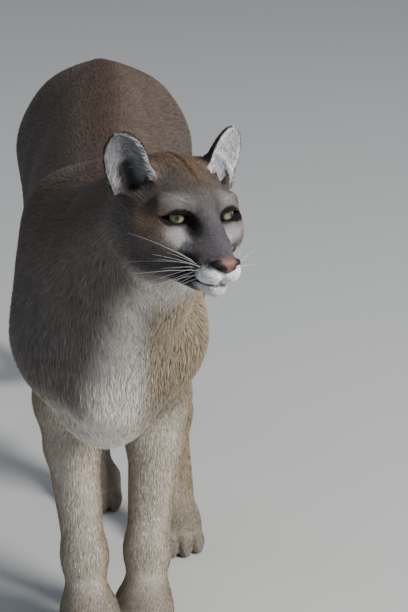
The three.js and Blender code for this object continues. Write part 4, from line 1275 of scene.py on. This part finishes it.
# Roots are strewn evenly over the skin's triangles, by the number of tufts that each should carry
triangles = np.vstack([skin_squares[:, [0, 1, 2]], skin_squares[:, [0, 2, 3]]])
tri_points = skin_points[triangles]
tri_area = lengths(np.cross(tri_points[:, 1] - tri_points[:, 0], tri_points[:, 2] - tri_points[:, 0])) / 2
_, _, tri_density = tuft_size(tri_points.mean(1), unit_rows(skin_normals[triangles].mean(1)))
expected = tri_area * tri_density
expected *= TUFT_LIMIT / expected.sum()
grown = np.floor(expected + rng.random(len(expected))).astype(int)
owner = np.repeat(np.arange(len(triangles)), grown)
r1, r2 = np.sqrt(rng.random(len(owner))), rng.random(len(owner))
share = np.column_stack([1 - r1, r1 * (1 - r2), r1 * r2])[:, :, None]
roots = (tri_points[owner] * share).sum(1)
normals = unit_rows((skin_normals[triangles[owner]] * share).sum(1))
hairy = ~bare_places(roots)
roots, normals = roots[hairy], normals[hairy]
colours = coat_colour(roots, normals)
ways = lie_of_coat(roots, normals)
drift = 0.12 * streak(roots, 90, 11) + 0.05 * streak(roots, 23, 12)
drift += rng.normal(0, SIDEWAYS_DRIFT, len(roots))
ways = ways * np.cos(drift)[:, None] + np.cross(normals, ways) * np.sin(drift)[:, None]
tuft_length, tuft_width, _ = tuft_size(roots, normals)
tuft_length = tuft_length * rng.uniform(SHORTEST, LONGEST, len(roots))
tuft_depth = coat_depth(roots) * rng.uniform(FLATTEST, STEEPEST, len(roots))
# Some hairs are darker and some paler than the rest, most of all on the head, so the coat looks dusted
in_head = to_head(roots)
head_share = head_weight(in_head)
dark = rng.random(len(roots)) < DARK_ON_BODY + DARK_ON_HEAD * head_share
colours[dark] *= DARKENED
frosted = rng.random(len(roots)) < PALE_ON_BODY + PALE_ON_HEAD * head_share
colours[frosted] *= PALED
in_ears = inside_ear(in_head)
colours[in_ears] *= rng.uniform(0.6, 1.75, (in_ears.sum(), 1))
colours = np.clip(colours, 0, 0.95)
# The coat is cut into pieces by place, and each piece into as many meshes as it needs
root_y, root_z = roots[:, 1], roots[:, 2]
on_head = head_share > 0.5
region = np.full(len(roots), "coat_back", "U20")
region[root_y < 60] = "coat_neck_and_chest"
region[root_y > 330] = "coat_rump"
region[(root_z < 330) & (root_y < 190)] = "coat_forelegs"
region[(root_z < 400) & (root_y >= 190)] = "coat_hindlegs"
region[root_y > 704] = "coat_tail"
region[on_head & (in_head[:, 0] < 0)] = "coat_head_right"
region[on_head & (in_head[:, 0] >= 0)] = "coat_head_left"
tuft_fur, _ = coat_material("tuft_fur", 0.7, 420.0)
fur = {
    "roots": roots, "normals": normals, "ways": ways, "length": tuft_length, "width": tuft_width,
    "depth": tuft_depth, "colours": colours,
}
for name in (
    "coat_head_right", "coat_head_left", "coat_neck_and_chest", "coat_back", "coat_rump",
    "coat_forelegs", "coat_hindlegs", "coat_tail",
):
    mine = np.flatnonzero(region == name)
    parts = max(1, math.ceil(len(mine) / MOST_TUFTS_IN_PIECE))
    for part in range(parts):
        label = name if parts == 1 else f"{name}_{part + 1}"
        tufts = tuft_mesh(label, **{what: values[mine[part::parts]] for what, values in fur.items()})
        tufts.data.materials.append(tuft_fur)
        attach(tufts, "root")

# Whiskers
# Long stiff white hairs that stand out of the upper lip's pads in rows and sweep back, with a few over
# each eye. Each tapers from its root to a fine tip.
WHISKER_ROOT, WHISKER_TIP = 0.24, 0.06
WHISKER_REACH = {1: 52.0, -1: 84.0}
WHISKER_STEPS, WHISKER_SIDES = 10, 5
BROW_HAIR_STOUTNESS = 0.32


def whisker_paths():
    """Root, direction, length and stoutness of each whisker, in the head's frame."""
    paths = []
    for side in SIDES.values():
        for row in range(4):
            for column in range(4):
                root = np.array([side * 24.0, 24 + 6.5 * column, -13 - 4.2 * row])
                way = np.array([side * (0.80 - 0.06 * column), 0.50 + 0.08 * column, 0.24 - 0.31 * row])
                way += rng.normal(0, 0.09, 3)
                paths.append((root, unit(way), WHISKER_REACH[side] * rng.uniform(0.4, 1.0), 1.0))
        for hair in range(2):
            root = np.array([side * (24 + 4 * hair), 76 + 3 * hair, 45.0])
            way = np.array([side * 0.8, 0.1, 0.45]) + rng.normal(0, 0.05, 3)
            paths.append((root, unit(way), rng.uniform(22, 34), BROW_HAIR_STOUTNESS))
    return paths


def whisker_mesh(name, paths):
    points, faces = [], []
    for root, way, reach, stout in paths:
        d, slope = slope_of(head_field, root[None])
        root = root - slope[0] * d[0]
        first = len(points)
        across = unit(np.cross(way, (0.0, 0.0, 1.0)))
        over = np.cross(across, way)
        for n in range(WHISKER_STEPS + 1):
            t = n / WHISKER_STEPS
            middle = root + way * (reach * t - 2) + np.array([0, 0.10, -0.16]) * reach * t * t
            thick = stout * (WHISKER_ROOT + (WHISKER_TIP - WHISKER_ROOT) * t)
            for k in range(WHISKER_SIDES):
                a = 2 * math.pi * k / WHISKER_SIDES
                points.append(middle + (across * math.cos(a) + over * math.sin(a)) * thick)
        grid = np.arange(first, len(points)).reshape(WHISKER_STEPS + 1, WHISKER_SIDES)
        beside = np.roll(grid, -1, axis=1)
        faces.append(np.stack([grid[:-1], beside[:-1], beside[1:], grid[1:]], -1).reshape(-1, 4))
    return mesh_piece(name, to_metres(from_head(np.array(points))), [np.vstack(faces)])[0]


def cloudy_colour(material, inputs, dark, light):
    """A colour that drifts between two tones."""
    cloud = add_node(material, "TexNoise", inputs)
    ramp = add_node(material, "ValToRGB", {"Fac": cloud.outputs["Fac"]})
    ramp.color_ramp.elements[0].color = dark
    ramp.color_ramp.elements[1].color = light
    return ramp.outputs["Color"]


horn = new_material("white_whisker")
cloud = {"Vector": object_place(horn), "Scale": 60.0}
horn_colour = cloudy_colour(horn, cloud, (0.72, 0.71, 0.70, 1), (0.95, 0.95, 0.95, 1))
feed_shader(horn, {"Base Color": horn_colour, "Roughness": 0.35})
whiskers = whisker_mesh("whiskers", whisker_paths())
whiskers.data.materials.append(horn)
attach(whiskers, "root")

# Studio
# A plain pale floor, a strong soft key light high at the animal's left and front, a weak fill from its
# right, and back and top lights that lift its outline. The camera stands in front and looks down.
FLOOR_HALF = 12.0
BODY_MIDDLE = (0.0, 0.0, 0.45)
CAMERA_PLACE = np.array([-18.0, -4000.0, 1920.0])
CAMERA_PAN, CAMERA_TILT = 2.08, 19.97
LENS, SENSOR_WIDTH = 194.2, 36.0
floor_mesh = bpy.data.meshes.new("floor")
floor_corners = [(x * FLOOR_HALF, y * FLOOR_HALF, 0) for x, y in ((-1, -1), (1, -1), (1, 1), (-1, 1))]
floor_mesh.from_pydata(floor_corners, [], [(0, 1, 2, 3)])
floor = bpy.data.objects.new("floor", floor_mesh)
bpy.context.scene.collection.objects.link(floor)
pale = new_material("pale_floor")
floor_colour = cloudy_colour(pale, {"Scale": 3.0}, (0.52, 0.52, 0.51, 1), (0.58, 0.58, 0.57, 1))
feed_shader(pale, {"Base Color": floor_colour, "Roughness": 0.9})
floor.data.materials.append(pale)

# Name, place, size, power and colour of each light
for name, place, size, power, tone in (
    ("key", (2.6, -1.9, 2.6), 1.1, 212, (1.0, 0.98, 0.94)),
    ("fill", (-3.0, -2.4, 1.6), 2.5, 9, (0.80, 0.89, 1.0)),
    ("back", (-3.2, 2.4, 1.9), 2.5, 22, (0.92, 0.96, 1.0)),
    ("top", (0.5, 1.4, 3.2), 2.0, 20, (1.0, 0.98, 0.96)),
):
    lamp = bpy.data.lights.new(name, "AREA")
    lamp.shape = "DISK"
    lamp.size = size
    lamp.energy = power
    lamp.color = tone
    holder = bpy.data.objects.new(name, lamp)
    bpy.context.scene.collection.objects.link(holder)
    holder.location = place
    holder.rotation_euler = (Vector(BODY_MIDDLE) - Vector(place)).to_track_quat("-Z", "Y").to_euler()
world = bpy.data.worlds.new("soft_room")
world.use_nodes = True
world.node_tree.nodes["Background"].inputs["Color"].default_value = (0.68, 0.81, 1.0, 1)
world.node_tree.nodes["Background"].inputs["Strength"].default_value = 0.24
bpy.context.scene.world = world

camera_data = bpy.data.cameras.new("camera")
camera_data.sensor_width = SENSOR_WIDTH
camera_data.lens = LENS
camera = bpy.data.objects.new("camera", camera_data)
bpy.context.scene.collection.objects.link(camera)
camera.location = to_metres(CAMERA_PLACE)
camera.rotation_euler = (math.radians(90 - CAMERA_TILT), 0, math.radians(-CAMERA_PAN))
bpy.context.scene.camera = camera
